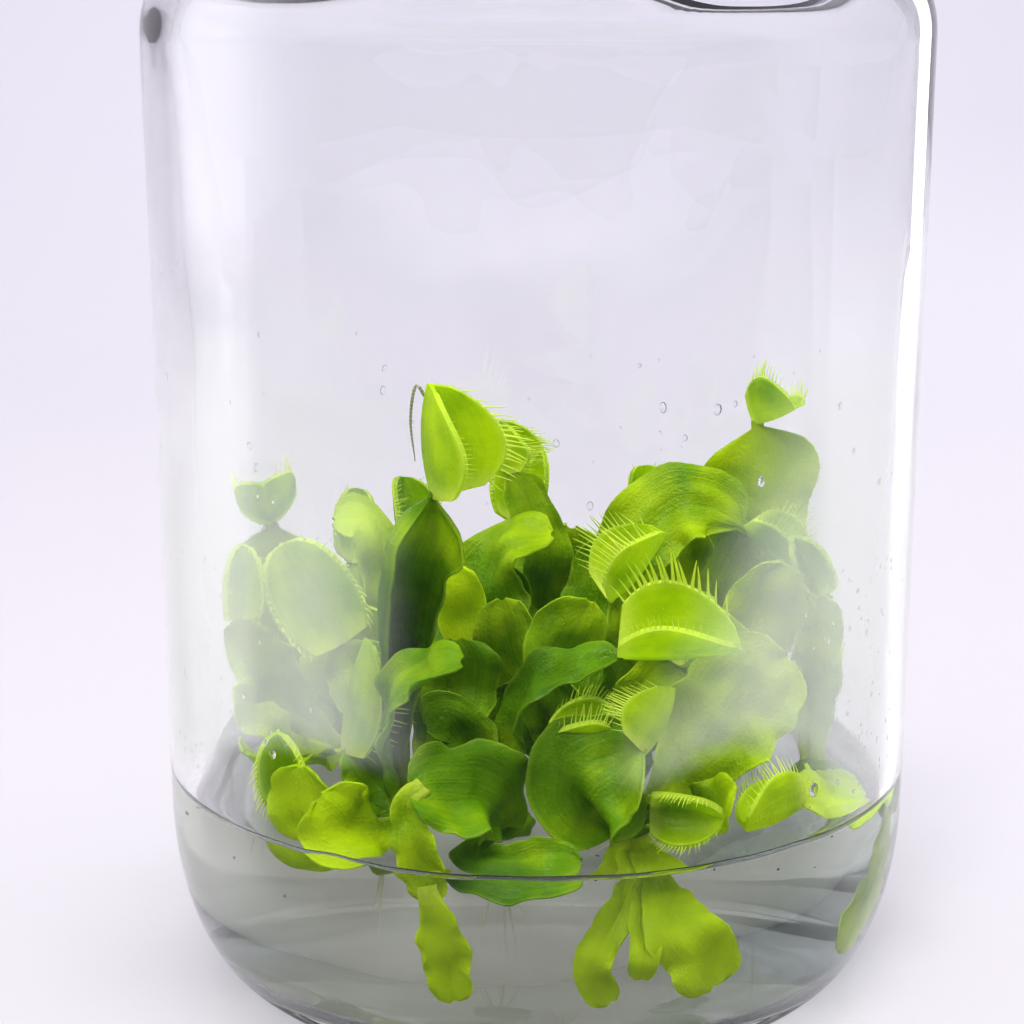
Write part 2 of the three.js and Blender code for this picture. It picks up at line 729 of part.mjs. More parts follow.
// The crown that a plant's leaves grow from, with its root below.
function crownGeometry([x, y]) {
  const profile = [
    at(0, ROOT_TIP),
    at(ROOT_RADIUS * 0.6, ROOT_TIP),
    at(ROOT_RADIUS, CROWN_FOOT - 1),
    at(CROWN_RADIUS, CROWN_FOOT + 1),
    at(CROWN_RADIUS * 0.8, GEL_TOP - 0.4),
    at(0, GEL_TOP + 0.3),
  ];
  return turned(profile, CROWN_SIDES, [x, y]);
}

// The plain hole that a crown and its root stand in.
function wellGeometry([x, y]) {
  const mouth = CROWN_RADIUS + 4 * WELL_CLEARANCE;
  const bore = ROOT_RADIUS + WELL_CLEARANCE;
  const profile = [
    at(0, ROOT_TIP - WELL_CLEARANCE),
    at(bore, ROOT_TIP - WELL_CLEARANCE),
    at(bore, CROWN_FOOT - 1),
    at(mouth, CROWN_FOOT),
    at(mouth, GEL_TOP + 2),
    at(0, GEL_TOP + 2),
  ];
  return turned(profile, CROWN_SIDES, [x, y]);
}

const dipsIntoGel = (leaf) =>
  leaf.route.slice(1).some((point) => point[2] < GEL_TOP + DIP_HEIGHT);

function plantSolid(plant) {
  const leaves = plant.leaves.flatMap((leaf) =>
    leaf.trap ? [bladeSolid(leaf), trapSolid(leaf)] : [bladeSolid(leaf)],
  );
  return fuse([toSolid(crownGeometry(plant.crown)), ...leaves]);
}

// ---- The gel, with a well for each crown and a pocket for each leaf that dips into it ----
function gelSolid() {
  const wall = WALL_FOOT_RADIUS - WALL - GEL_GAP;
  const profile = [
    at(0, PUSH_UP + BOTTOM + GEL_GAP),
    ...innerBottom(GEL_GAP).reverse(),
    at(wall, GEL_TOP + GEL_CREEP),
    at(wall - 1.2, GEL_TOP + GEL_CREEP * 0.3),
    at(wall - 3, GEL_TOP),
    at(0, GEL_TOP),
  ];
  let gel = toSolid(turned(profile, JAR_SIDES));
  for (const plant of PLANTS) {
    gel = gel.subtract(toSolid(wellGeometry(plant.crown)));
    for (const leaf of plant.leaves.filter(dipsIntoGel)) {
      gel = gel.subtract(bladeSolid(leaf, WELL_CLEARANCE));
    }
  }
  return gel;
}

// ---- The whole ----
const part = new THREE.Group();

function addPiece(name, geometry, look) {
  const piece = new THREE.Mesh(geometry, new THREE.MeshStandardMaterial(look));
  piece.name = name;
  part.add(piece);
}

addPiece("culture_jar", weld(jarGeometry()), GLASS);
addPiece("growing_gel", fromSolid(gelSolid()), GEL);
for (const plant of PLANTS) {
  addPiece(plant.name, fromSolid(plantSolid(plant)), LEAF);
}

export default part;
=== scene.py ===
# %% [markdown]
# # Young venus flytraps in a glass culture jar
# The plants grow from set gel at the bottom of an open glass jar, seen through a wall that is
# misted at both sides. Each step below says what the real thing is, how it could be made in
# Blender, and why it is made the way it is. Shapes are given in millimetres and turned to metres
# by MM at the last moment, because the frame is in metres. Lamps, the table and the numbers of
# materials are in metres from the start.

# %% Load the solids
import math
import bmesh
import bpy
import numpy as np
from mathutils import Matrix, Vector, noise


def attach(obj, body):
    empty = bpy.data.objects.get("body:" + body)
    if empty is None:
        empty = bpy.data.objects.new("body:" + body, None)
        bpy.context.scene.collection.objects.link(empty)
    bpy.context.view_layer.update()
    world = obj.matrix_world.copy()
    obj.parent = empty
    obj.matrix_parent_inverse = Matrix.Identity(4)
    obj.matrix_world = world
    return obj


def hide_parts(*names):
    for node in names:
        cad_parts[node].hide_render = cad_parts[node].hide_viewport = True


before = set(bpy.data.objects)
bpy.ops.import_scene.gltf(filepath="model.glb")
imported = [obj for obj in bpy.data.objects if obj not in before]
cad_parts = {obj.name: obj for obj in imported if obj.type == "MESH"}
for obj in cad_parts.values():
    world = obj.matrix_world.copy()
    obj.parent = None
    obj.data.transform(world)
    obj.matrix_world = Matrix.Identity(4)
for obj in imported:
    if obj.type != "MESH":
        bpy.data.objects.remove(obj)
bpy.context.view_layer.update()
MM = 0.001
print("solids:", ", ".join(sorted(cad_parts)))

# %% [markdown]
# ## Camera
# The picture was taken from a little above the jar's shoulder, close by, so the gel shows as an
# ellipse and the mouth lies outside the frame. Distance, height, pitch and lens are those that
# make the jar's outline and the gel's edge fall where the picture has them.

# %% Camera
CAMERA_X = -2.48
CAMERA_BACK = 212.8
CAMERA_HEIGHT = 93.5
CAMERA_PITCH = 12.61  # degrees below level
LENS_PIXELS = 2148  # focal length, in pixels of a frame 1024 pixels wide
FRAME_PIXELS = 1024
SENSOR = 36.0
NEAREST_SEEN = 0.01  # metres


def add_camera():
    bpy.ops.object.camera_add(
        location=(CAMERA_X * MM, -CAMERA_BACK * MM, CAMERA_HEIGHT * MM),
        rotation=(math.radians(90 - CAMERA_PITCH), 0, 0),
    )
    camera = bpy.context.object
    camera.name = "picture_camera"
    camera.data.sensor_width = SENSOR
    camera.data.lens = LENS_PIXELS / FRAME_PIXELS * SENSOR
    camera.data.clip_start = NEAREST_SEEN
    bpy.context.scene.camera = camera
    return camera


camera = add_camera()
print("lens", round(camera.data.lens, 2), "mm")

# %% [markdown]
# ## Helpers for objects
# Operators work on what is selected, so `only` selects one object and nothing else. `finish`
# bakes an object's place into its mesh, names it and smooths it. `new_piece` makes an object from
# points and faces, and `mark_tone` notes on its points how light their green is.

# %% Helpers for objects
def only(piece):
    bpy.ops.object.select_all(action="DESELECT")
    piece.select_set(True)
    bpy.context.view_layer.objects.active = piece


def finish(piece, name, materials, smooth_angle=40):
    only(piece)
    bpy.ops.object.transform_apply(location=True, rotation=True, scale=True)
    piece.name = name
    piece.data.name = name
    piece.data.materials.clear()
    for material in materials:
        piece.data.materials.append(material)
    bpy.ops.object.shade_smooth_by_angle(angle=math.radians(smooth_angle))
    return piece


def new_piece(name, points, faces, edges=()):
    mesh = bpy.data.meshes.new(name)
    mesh.from_pydata(np.array(points) * MM, edges, faces)
    piece = bpy.data.objects.new(name, mesh)
    bpy.context.scene.collection.objects.link(piece)
    return piece


def coordinates(mesh):
    flat = np.empty(len(mesh.vertices) * 3)
    mesh.vertices.foreach_get("co", flat)
    return flat.reshape(-1, 3)


def set_coordinates(mesh, points):
    mesh.vertices.foreach_set("co", np.ascontiguousarray(points, dtype=np.float64).ravel())
    mesh.update()


def mark_tone(piece, tone):
    values = np.broadcast_to(tone, len(piece.data.vertices)).astype(np.float32)
    mark = piece.data.attributes.new("tone", "FLOAT", "POINT")
    mark.data.foreach_set("value", values)


def smoothstep(x, low, high):
    t = np.clip((x - low) / (high - low), 0.0, 1.0)
    return t * t * (3 - 2 * t)


# %% [markdown]
# ## Helpers for materials
# A material is a tree of nodes. `node` adds one and fills its inputs, by a link where the value is
# another node's output and by the plain number or colour otherwise. The others are short names
# for the kinds of node that come up again and again.

# %% Helpers for materials
def new_material(name):
    material = bpy.data.materials.new(name)
    material.use_nodes = True
    material.node_tree.nodes.clear()
    return material, material.node_tree


def node(tree, kind, inputs=None, **settings):
    made = tree.nodes.new("ShaderNode" + kind)
    for key, value in settings.items():
        setattr(made, key, value)
    for key, value in (inputs or {}).items():
        if isinstance(value, bpy.types.NodeSocket):
            tree.links.new(value, made.inputs[key])
        else:
            made.inputs[key].default_value = value
    return made


def maths(tree, operation, *values):
    return node(tree, "Math", dict(enumerate(values)), operation=operation).outputs[0]


def product(tree, first, *others):
    for other in others:
        first = maths(tree, "MULTIPLY", first, other)
    return first


def noise_field(tree, place, scale, detail):
    """Soft cloudy noise between 0 and 1, with so many swings per metre."""
    return node(tree, "TexNoise", {"Vector": place, "Scale": scale, "Detail": detail}).outputs["Fac"]


def swing(tree, field, size):
    """Noise about nought, of the given size."""
    return maths(tree, "MULTIPLY", maths(tree, "SUBTRACT", field, 0.5), size)


def remap(tree, value, low, high, to_low=0.0, to_high=1.0):
    ends = {"From Min": low, "From Max": high, "To Min": to_low, "To Max": to_high}
    made = node(tree, "MapRange", {"Value": value, **ends}, interpolation_type="SMOOTHSTEP")
    return made.outputs["Result"]


def blend_colour(tree, share, first, second):
    return node(tree, "Mix", {0: share, 6: first, 7: second}, data_type="RGBA").outputs[2]


def mix_shaders(tree, share, first, second):
    return node(tree, "MixShader", {0: share, 1: first.outputs[0], 2: second.outputs[0]})


def put_out(tree, surface, volume=None):
    """Ends a material with what its surface does, and its inside."""
    inside = {} if volume is None else {"Volume": volume.outputs[0]}
    node(tree, "OutputMaterial", {"Surface": surface.outputs[0], **inside})


def shader_group(name, inputs, outputs):
    group = bpy.data.node_groups.new(name, "ShaderNodeTree")
    for label, kind, value in inputs:
        socket = group.interface.new_socket(label, in_out="INPUT", socket_type="NodeSocket" + kind)
        socket.default_value = value
    for label, kind in outputs:
        group.interface.new_socket(label, in_out="OUTPUT", socket_type="NodeSocket" + kind)
    return group, group.nodes.new("NodeGroupInput").outputs, group.nodes.new("NodeGroupOutput").inputs


# %% [markdown]
# ## Table and wall
# The jar stands on a glossy white table that runs up into a pale lilac wall with no edge between
# them, so the floor is one plane whose far end is extruded up and rounded. Near the jar the table
# is coloured darker, painted shade that holds back the strong lamp light falling there. Clear
# glass shows its edges only because they mirror something darker than what lies behind. The strip
# of table in front of the jar is therefore dark, but only to light that reaches the camera by one
# mirror bounce; to everything else it is white.

# %% Floor and backdrop
FLOOR_HALF = 1.3
BACKDROP_Y = 1.0
BACKDROP_HEIGHT = 1.5
SWEEP_RADIUS = 0.7
SWEEP_STEPS = 24
# painted shade: the table is coloured darker near the jar, to hold back the strong lamp light that falls
# there
TABLE_NEAR_PAINTED_SHADE = [(0.345, 0.333, 0.362, 1), (0.355, 0.343, 0.372, 1)]
TABLE_BEHIND = (0.55, 0.537, 0.60, 1)
TABLE_ROUND_ABOUT = (0.92, 0.90, 0.96, 1)
MIRRORED_SHADE = (0.01, 0.01, 0.012, 1)
SHADE_FROM = (-0.004, -0.034)  # metres in front of the jar's axis over which the shade sets in
SHADE_TO = (-0.75, -0.5)  # and over which it ends
TOUCHING = 1e-4


def add_floor():
    bpy.ops.mesh.primitive_plane_add(size=2 * FLOOR_HALF, location=(0, BACKDROP_Y - FLOOR_HALF, 0))
    floor = bpy.context.object
    bpy.ops.object.mode_set(mode="EDIT")
    mesh = bmesh.from_edit_mesh(floor.data)
    for face in mesh.faces:
        face.select_set(False)
    far = [e for e in mesh.edges if all(v.co.y > 0 for v in e.verts)]
    far[0].select_set(True)
    bmesh.update_edit_mesh(floor.data)
    bpy.ops.mesh.extrude_region_move(TRANSFORM_OT_translate={"value": (0, 0, BACKDROP_HEIGHT)})
    mesh = bmesh.from_edit_mesh(floor.data)
    for vert in mesh.verts:
        vert.select_set(abs(vert.co.y - FLOOR_HALF) < TOUCHING and abs(vert.co.z) < TOUCHING)
    mesh.select_flush(True)
    bmesh.update_edit_mesh(floor.data)
    bpy.ops.mesh.bevel(offset=SWEEP_RADIUS, segments=SWEEP_STEPS, affect="EDGES")
    bpy.ops.object.mode_set(mode="OBJECT")
    return floor


def mirrored_once(tree):
    """1 for light that reaches the camera by one mirror bounce, which is what greys clear glass."""
    depth = node(tree, "LightPath").outputs["Glossy Depth"]
    return maths(tree, "COMPARE", depth, 1.0, 0.5)


def table_material():
    material, tree = new_material("glossy_white_table")
    place = node(tree, "TexCoord").outputs["Object"]
    parts = node(tree, "SeparateXYZ", {"Vector": place}).outputs
    far = parts["Y"]
    beside = maths(tree, "ABSOLUTE", parts["X"])
    round_about = maths(tree, "MAXIMUM", beside, product(tree, far, -1.0))
    # painted shade near the jar, fading to the lighter colours behind and further round
    tint = blend_colour(tree, noise_field(tree, place, 9.0, 2.0), *TABLE_NEAR_PAINTED_SHADE)
    tint = blend_colour(tree, remap(tree, far, 0.0, 0.9), tint, TABLE_BEHIND)
    tint = blend_colour(tree, remap(tree, round_about, 0.35, 1.0), tint, TABLE_ROUND_ABOUT)
    look = {"Base Color": tint, "Roughness": 0.28, "IOR": 1.45, "Specular IOR Level": 0.25}
    white = node(tree, "BsdfPrincipled", look)
    shade = node(tree, "BsdfDiffuse", {"Color": MIRRORED_SHADE})
    before = product(tree, remap(tree, far, *SHADE_FROM), remap(tree, far, *SHADE_TO))
    put_out(tree, mix_shaders(tree, product(tree, before, mirrored_once(tree)), white, shade))
    return material


floor = finish(add_floor(), "table_and_wall", [table_material()])
print("floor reaches", round(FLOOR_HALF, 2), "m each way")

# %% [markdown]
# ## Lamps and room
# A soft lamp over the jar lights the leaves from above, and another whitens the wall behind. A
# large panel at the left shows in the glass as a broad soft sheen, so its light fades towards its
# rim. A narrow lamp behind at the right makes the long bright line down the glass. The room is
# pale, seen a little brighter than it shines, and its front low part is dimmed in the mirror of
# the glass as the table is.

# %% Lamps and room
WORLD_COLOUR = (0.86, 0.83, 0.95, 1)
WORLD_STRENGTH = 0.42
WORLD_SEEN = 0.9  # how bright the room looks, where it shows past the table
FRONT_GLARE = 0.01  # how much of the room in front is left in reflections
JAR_MIDDLE = (0, 0, 0.045)
LAMPS = [  # name, place, aimed at, sides, watts, colour, whether the glass mirrors it
    ("overhead_lamp", (0.05, -0.05, 0.62), JAR_MIDDLE, (0.42, 0.42), 5.6, (1.0, 0.985, 0.95), False),
    ("wall_lamp", (0.0, 0.30, 0.90), (0, 0.85, 0.1), (1.6, 0.4), 6.0, (0.97, 0.95, 1.0), False),
    ("left_panel", (-0.50, 0.08, 0.25), (0, 0, 0.25), (0.60, 0.50), 2.3, (1.0, 0.99, 1.0), True),
    ("right_panel", (0.46, -0.06, 0.26), JAR_MIDDLE, (0.50, 0.50), 1.3, (1.0, 0.99, 0.98), False),
    ("right_lamp", (0.35, 0.40, 0.17), JAR_MIDDLE, (0.13, 0.50), 0.60, (1, 1, 1), True),
    ("front_lamp", (-0.24, -0.42, 0.60), JAR_MIDDLE, (0.26, 0.26), 5.0, (1.0, 0.99, 0.96), True),
]
FADED = "left_panel"


def aim(location, target):
    return (Vector(target) - Vector(location)).to_track_quat("-Z", "Y").to_euler()


def add_lamp(name, location, target, size, power, colour, mirrored):
    bpy.ops.object.light_add(type="AREA", location=location, rotation=aim(location, target))
    lamp = bpy.context.object
    lamp.name = name
    lamp.data.shape = "RECTANGLE"
    lamp.data.size, lamp.data.size_y = size
    lamp.data.energy = power
    lamp.data.color = colour
    lamp.visible_glossy = mirrored
    lamp.visible_transmission = False
    lamp.visible_camera = False
    return lamp


def fade_edges(lamp):
    """Lets a panel's light fade towards its rim, so that the glass shows no edge of it."""
    lamp.data.use_nodes = True
    tree = lamp.data.node_tree
    place = node(tree, "NewGeometry").outputs["Parametric"]
    across = node(tree, "SeparateXYZ", {"Vector": place}).outputs
    sides = maths(tree, "ABSOLUTE", maths(tree, "SUBTRACT", across["X"], 0.5))
    ends = product(tree, remap(tree, across["Y"], 1.0, 0.6), remap(tree, across["Y"], 0.0, 0.08))
    fading = product(tree, remap(tree, sides, 0.5, 0.05), ends)
    tree.links.new(fading, tree.nodes["Emission"].inputs["Strength"])


def set_world():
    world = bpy.data.worlds.new("pale_room")
    world.use_nodes = True
    tree = world.node_tree
    background = tree.nodes["Background"]
    background.inputs["Color"].default_value = WORLD_COLOUR
    way = node(tree, "SeparateXYZ", {"Vector": node(tree, "TexCoord").outputs["Generated"]}).outputs
    front = product(tree, remap(tree, way["Y"], 0.15, -0.35), remap(tree, way["Z"], 0.16, 0.03))
    dimmed = product(tree, front, mirrored_once(tree), 1 - FRONT_GLARE)
    path = node(tree, "LightPath").outputs
    seen = maths(tree, "MAXIMUM", path["Is Camera Ray"], path["Is Transmission Ray"])
    level = maths(tree, "MULTIPLY_ADD", seen, WORLD_SEEN - WORLD_STRENGTH, WORLD_STRENGTH)
    strength = product(tree, maths(tree, "SUBTRACT", 1.0, dimmed), level)
    tree.links.new(strength, background.inputs["Strength"])
    bpy.context.scene.world = world


set_world()
lamps = {row[0]: add_lamp(*row) for row in LAMPS}
fade_edges(lamps[FADED])
bpy.context.scene.view_settings.view_transform = "Standard"
print("lamps:", ", ".join(lamps))

# %% [markdown]
# ## Glass
# Clear glass bends light, and a path tracer can't aim at lamps through it, so everything inside
# would go dark. The shader is therefore real glass to the eye and to mirrors, and lets shadow and
# diffuse rays straight through. Glass, gel and water share that idea, but the switch stays in
# each material, because Light Path belongs there.

# %% Clear glass
GLASS_TINT = (0.99, 0.995, 0.998, 1)
GLASS_BENDS = 1.5
SHADOW_TINT = (0.97, 0.975, 0.98, 1)


def see_through(tree, tint, bends, roughness=0.0):
    look = {"Base Color": tint, "Roughness": roughness, "IOR": bends, "Transmission Weight": 1.0}
    return node(tree, "BsdfPrincipled", look)


def letting_light_through(tree, shader):
    path = node(tree, "LightPath").outputs
    passes = maths(tree, "MAXIMUM", path["Is Shadow Ray"], path["Is Diffuse Ray"])
    return mix_shaders(tree, passes, shader, node(tree, "BsdfTransparent", {"Color": SHADOW_TINT}))


def clear_glass():
    material, tree = new_material("clear_jar_glass")
    put_out(tree, letting_light_through(tree, see_through(tree, GLASS_TINT, GLASS_BENDS)))
    return material


# %% [markdown]
# ## Mist on the inner wall
# Warm wet gel breathes, and the water settles inside the wall in a fine mist. It lies at both
# sides, a little higher up at the foot towards the front, and a clear window is left at the front
# where drops have run together. This group of nodes works out how thick it lies at a point of the
# wall, from the angle round the jar, the height and soft noise, and where its tiny beads stand.

# %% Mist mask
WINDOW_HALF = 0.365  # half the clear window, in radians round the jar
WINDOW_EDGE = (0.10, 0.26)  # how far the edge of the mist reaches in and out from there
WINDOW_LEAN = 10  # how fast the window's right edge leans out with height, in radians per metre
LEAN_HEIGHT = 0.0405  # the height at which that edge is as far from the front as the left one
BACK_EDGE = (1.8, 2.4)  # angles over which the mist ends towards the back
MIST_FOOT = 0.0215
MIST_TOP = 0.082
MIST_THINS_FROM = 0.48  # share of the top's height at which it starts to thin
FRONT_LIFT = 0.008  # how much higher its foot is towards the front
FOOT_EDGE = 0.004
BEAD_SCALE = 2600.0


def mist_group():
    group, given, made = shader_group(
        "wall_mist",
        [("Window", "Float", WINDOW_HALF), ("Foot", "Float", MIST_FOOT), ("Top", "Float", MIST_TOP)],
        [("Mist", "Float"), ("Beads", "Float")],
    )
    place = node(group, "TexCoord").outputs["Object"]
    parts = node(group, "SeparateXYZ", {"Vector": place}).outputs
    turn = maths(group, "ARCTAN2", parts["X"], product(group, parts["Y"], -1.0))
    lean = maths(group, "MULTIPLY_ADD", parts["Z"], -WINDOW_LEAN, WINDOW_LEAN * LEAN_HEIGHT)
    leant = maths(group, "MULTIPLY_ADD", lean, remap(group, turn, -0.2, 0.2), turn)
    away = maths(group, "ABSOLUTE", leant)
    cloud = noise_field(group, place, 48.0, 5.0)
    edge = maths(group, "ADD", away, swing(group, cloud, 0.22))
    nearer = maths(group, "SUBTRACT", given["Window"], WINDOW_EDGE[0])
    further = maths(group, "ADD", given["Window"], WINDOW_EDGE[1])
    side = product(group, remap(group, edge, nearer, further), remap(group, edge, *BACK_EDGE, 1.0, 0.0))
    up_high = maths(group, "ADD", parts["Z"], swing(group, cloud, 0.02))
    height = remap(group, up_high, given["Top"], product(group, given["Top"], MIST_THINS_FROM))
    down_low = maths(group, "ADD", parts["Z"], swing(group, cloud, 0.012))
    low = maths(group, "SUBTRACT", down_low, remap(group, away, 1.25, 0.60, 0.0, FRONT_LIFT))
    above = remap(group, low, given["Foot"], maths(group, "ADD", given["Foot"], FOOT_EDGE))
    body = product(group, side, height, remap(group, cloud, 0.3, 0.7, 0.78, 1.0))
    mist = product(group, body, above)
    group.links.new(mist, made["Mist"])
    group.links.new(product(group, mist, body, noise_field(group, place, BEAD_SCALE, 2.0)), made["Beads"])
    return group


MIST = mist_group()

# %% [markdown]
# ## Misted glass
# Under the mist the glass is as smooth as elsewhere. Fine beads bend the light a little, which
# softens what lies behind, and a thin white veil lies over it: part of it scatters the light
# that falls on it, and part is a painted glow, an emission that stands in for light that the
# drops pass on to each other.

# %% Misted glass
BEAD_RELIEF = 0.0000055  # metres
VEIL = 0.24  # how much of the view the thickest mist covers
VEIL_PAINTED_GLOW = 0.46  # how much painted glow, an emission standing in for light that drops pass on to each other, whitens it further
VEIL_PAINTED_GLOW_COLOUR = (0.93, 0.94, 0.95, 1)
VEIL_PAINTED_GLOW_STRENGTH = 0.84
WHITE = (1, 1, 1, 1)


def misted_glass():
    material, tree = new_material("misted_jar_glass")
    mist = node(tree, "Group", node_tree=MIST).outputs
    bump = node(tree, "Bump", {"Height": mist["Beads"], "Strength": 1.0, "Distance": BEAD_RELIEF})
    glass = see_through(tree, GLASS_TINT, GLASS_BENDS)
    tree.links.new(bump.outputs[0], glass.inputs["Normal"])
    onward = node(tree, "BsdfTranslucent", {"Color": WHITE})
    back = node(tree, "BsdfDiffuse", {"Color": WHITE})
    veil = mix_shaders(tree, 0.6, onward, back)
    veiled = mix_shaders(tree, product(tree, mist["Mist"], VEIL), glass, veil)
    # painted glow: an emission that whitens the mist in place of light passed between the drops
    painted_glow = node(tree, "Emission", {"Color": VEIL_PAINTED_GLOW_COLOUR, "Strength": VEIL_PAINTED_GLOW_STRENGTH})
    veiled_with_painted_glow = mix_shaders(tree, product(tree, mist["Mist"], VEIL_PAINTED_GLOW), veiled, painted_glow)
    put_out(tree, letting_light_through(tree, veiled_with_painted_glow))
    material.cycles.emission_sampling = "NONE"
    return material


# %% [markdown]
# ## The jar
# A moulded jar is a turned shape: its section is drawn once and spun round the axis. The section
# runs from the lifted middle of the bottom out to the foot ring, up the outside, over the bead and
# down the inside. Real moulded walls are not even inside, which is what breaks the reflections
# at the edges into wandering lines, so the inner wall is moved in and out a little.

# %% Section of the jar
JAR_HEIGHT = 112
SHOULDER_HEIGHT = 93.4
SHOULDER_RADIUS = 38
WALL_FOOT_RADIUS = 37.5
WALL = 2.4
CORNER_HEIGHT = 18
FOOT_OUTER_RADIUS = 29.5
FOOT_INNER_RADIUS = 24
PUSH_UP = 1.6
BOTTOM = 3.4
NECK_RADIUS = 32
NECK_BORE = 29.4
NECK_FOOT = 101
BEAD_RADIUS = 33.2
BEAD_HEIGHT = 5
RIM_ROUND = 0.7
JAR_STEPS = 200


def arc(cx, cy, rx, ry, start, end, steps):
    angles = np.radians(np.linspace(start, end, steps + 1))
    return [(cx + rx * math.cos(a), cy + ry * math.sin(a)) for a in angles]


def straight(first, last, steps):
    shares = np.linspace(0, 1, steps + 1)[1:-1]
    return [(first[0] + (last[0] - first[0]) * t, first[1] + (last[1] - first[1]) * t) for t in shares]


def inner_corner(gap=0.0, steps=14):
    corner = WALL_FOOT_RADIUS - FOOT_OUTER_RADIUS
    middle = WALL_FOOT_RADIUS - WALL - gap - corner
    return arc(middle, CORNER_HEIGHT, corner, CORNER_HEIGHT - BOTTOM - gap, 0, -90, steps)


def jar_section():
    corner = WALL_FOOT_RADIUS - FOOT_OUTER_RADIUS
    drop = NECK_FOOT - SHOULDER_HEIGHT
    reach = SHOULDER_RADIUS - NECK_RADIUS
    inner_reach = SHOULDER_RADIUS - WALL - NECK_BORE
    outside_foot = (WALL_FOOT_RADIUS, CORNER_HEIGHT)
    outside_top = (SHOULDER_RADIUS, SHOULDER_HEIGHT)
    inside_top = (SHOULDER_RADIUS - WALL, SHOULDER_HEIGHT - 1)
    inside_foot = (WALL_FOOT_RADIUS - WALL, CORNER_HEIGHT)
    bead = BEAD_HEIGHT / 2
    return [
        (0, PUSH_UP),
        (FOOT_INNER_RADIUS * 0.6, PUSH_UP * 0.9),
        (FOOT_INNER_RADIUS - 2, PUSH_UP * 0.45),
        (FOOT_INNER_RADIUS, 0),
        *arc(FOOT_OUTER_RADIUS, CORNER_HEIGHT, corner, CORNER_HEIGHT, -90, 0, steps=18),
        *straight(outside_foot, outside_top, steps=8),
        *arc(NECK_RADIUS, SHOULDER_HEIGHT, reach, drop, 0, 90, steps=12),
        (NECK_RADIUS, JAR_HEIGHT - BEAD_HEIGHT),
        *arc(NECK_RADIUS, JAR_HEIGHT - bead, BEAD_RADIUS - NECK_RADIUS, bead, -80, 60, steps=10),
        (NECK_RADIUS, JAR_HEIGHT),
        *arc(NECK_BORE + RIM_ROUND, JAR_HEIGHT - RIM_ROUND, RIM_ROUND, RIM_ROUND, 90, 180, steps=4),
        *arc(NECK_BORE, SHOULDER_HEIGHT - 1, inner_reach, drop, 90, 0, steps=12),
        *straight(inside_top, inside_foot, steps=36),
        *inner_corner(),
        (0, PUSH_UP + BOTTOM),
    ]


# %% Spin the jar
UNEVEN = 0.28  # how far the inner wall wanders
SLOW_RATES = (0.06, 0.06, 0.035)  # swings per millimetre across, across and up
QUICK_RATE = 0.11
QUICK_SHARE = 0.3
INNER_WALL = (33, WALL_FOOT_RADIUS - 1.2)  # radii between which a point is on the inner wall
WANDERS_OVER = (23, SHOULDER_HEIGHT + 2)  # heights between which it wanders
MISTED_OVER = BOTTOM + 12  # above this its faces get the misted glass


def spin_section(section):
    edges = [(i, i + 1) for i in range(len(section) - 1)]
    piece = new_piece("section", [(r, 0, z) for r, z in section], [], edges)
    only(piece)
    bpy.ops.object.mode_set(mode="EDIT")
    bpy.ops.mesh.select_all(action="SELECT")
    bpy.ops.mesh.spin(steps=JAR_STEPS, angle=2 * math.pi, center=(0, 0, 0), axis=(0, 0, 1))
    bpy.ops.mesh.select_all(action="SELECT")
    bpy.ops.mesh.remove_doubles(threshold=1e-6)
    bpy.ops.mesh.normals_make_consistent(inside=False)
    bpy.ops.object.mode_set(mode="OBJECT")
    return piece


def wander_inside(piece):
    points = coordinates(piece.data)
    radius = np.hypot(points[:, 0], points[:, 1])
    inside = (radius > INNER_WALL[0] * MM) & (radius < INNER_WALL[1] * MM)
    inside &= (points[:, 2] > WANDERS_OVER[0] * MM) & (points[:, 2] < WANDERS_OVER[1] * MM)
    for i in np.nonzero(inside)[0]:
        place = points[i] / MM
        slow = noise.noise(Vector(place * SLOW_RATES))
        quick = noise.noise(Vector(place * QUICK_RATE + (5, 0, 0)))
        points[i, :2] *= 1 + UNEVEN * (slow + QUICK_SHARE * quick) / (radius[i] / MM)
    set_coordinates(piece.data, points)


def mark_misted(piece):
    for face in piece.data.polygons:
        middle = face.center
        inward = middle.x * face.normal.x + middle.y * face.normal.y < 0
        if inward and middle.z > MISTED_OVER * MM and math.hypot(middle.x, middle.y) > INNER_WALL[0] * MM:
            face.material_index = 1


jar = spin_section(jar_section())
wander_inside(jar)
finish(jar, "glass_jar", [clear_glass(), misted_glass()])
mark_misted(jar)
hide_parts("culture_jar")
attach(jar, "root")
print("jar:", len(jar.data.polygons), "faces")

# %% [markdown]
# ## The gel
# The plants feed from a clear nutrient gel that has set in the jar. It is wet and faintly cloudy,
# creeps up the wall in a fine rim and rises a little round whatever stands in it. It reaches just
# into the glass, so that light passes from one to the other with no film of air between them,
# and it closes round the sunken leaves with no wells.

# %% Shape of the gel
GEL_TOP = 20
GEL_CREEP = 1.2  # how high it stands at the wall, over the level inside
CREEP_REACH = 0.9  # how fast that falls away from the wall
GEL_INTO_GLASS = 0.12
CROWN_RISE = 0.55
CROWN_SPREAD = 10.0
WET_RISE = 0.5
GEL_UNEVEN = 0.16
CROWNS = {
    "plantlet_front_left": (-12.5, -16),
    "plantlet_front_centre": (-3, -18),
    "plantlet_front_right": (8.5, -17.5),
    "plantlet_right": (29.6, -3),
    "plantlet_middle": (3, -4),
    "plantlet_back_right": (14, 12),
    "plantlet_back_centre": (-3, 10),
    "plantlet_left_back": (-20, 4),
}
WET_PATCHES = [(-17.5, -28.5, 2.2), (-14.2, -29.6, 1.6), (-3, -31, 2.6), (4.6, -31, 2.2), (9, -28, 1.8)]


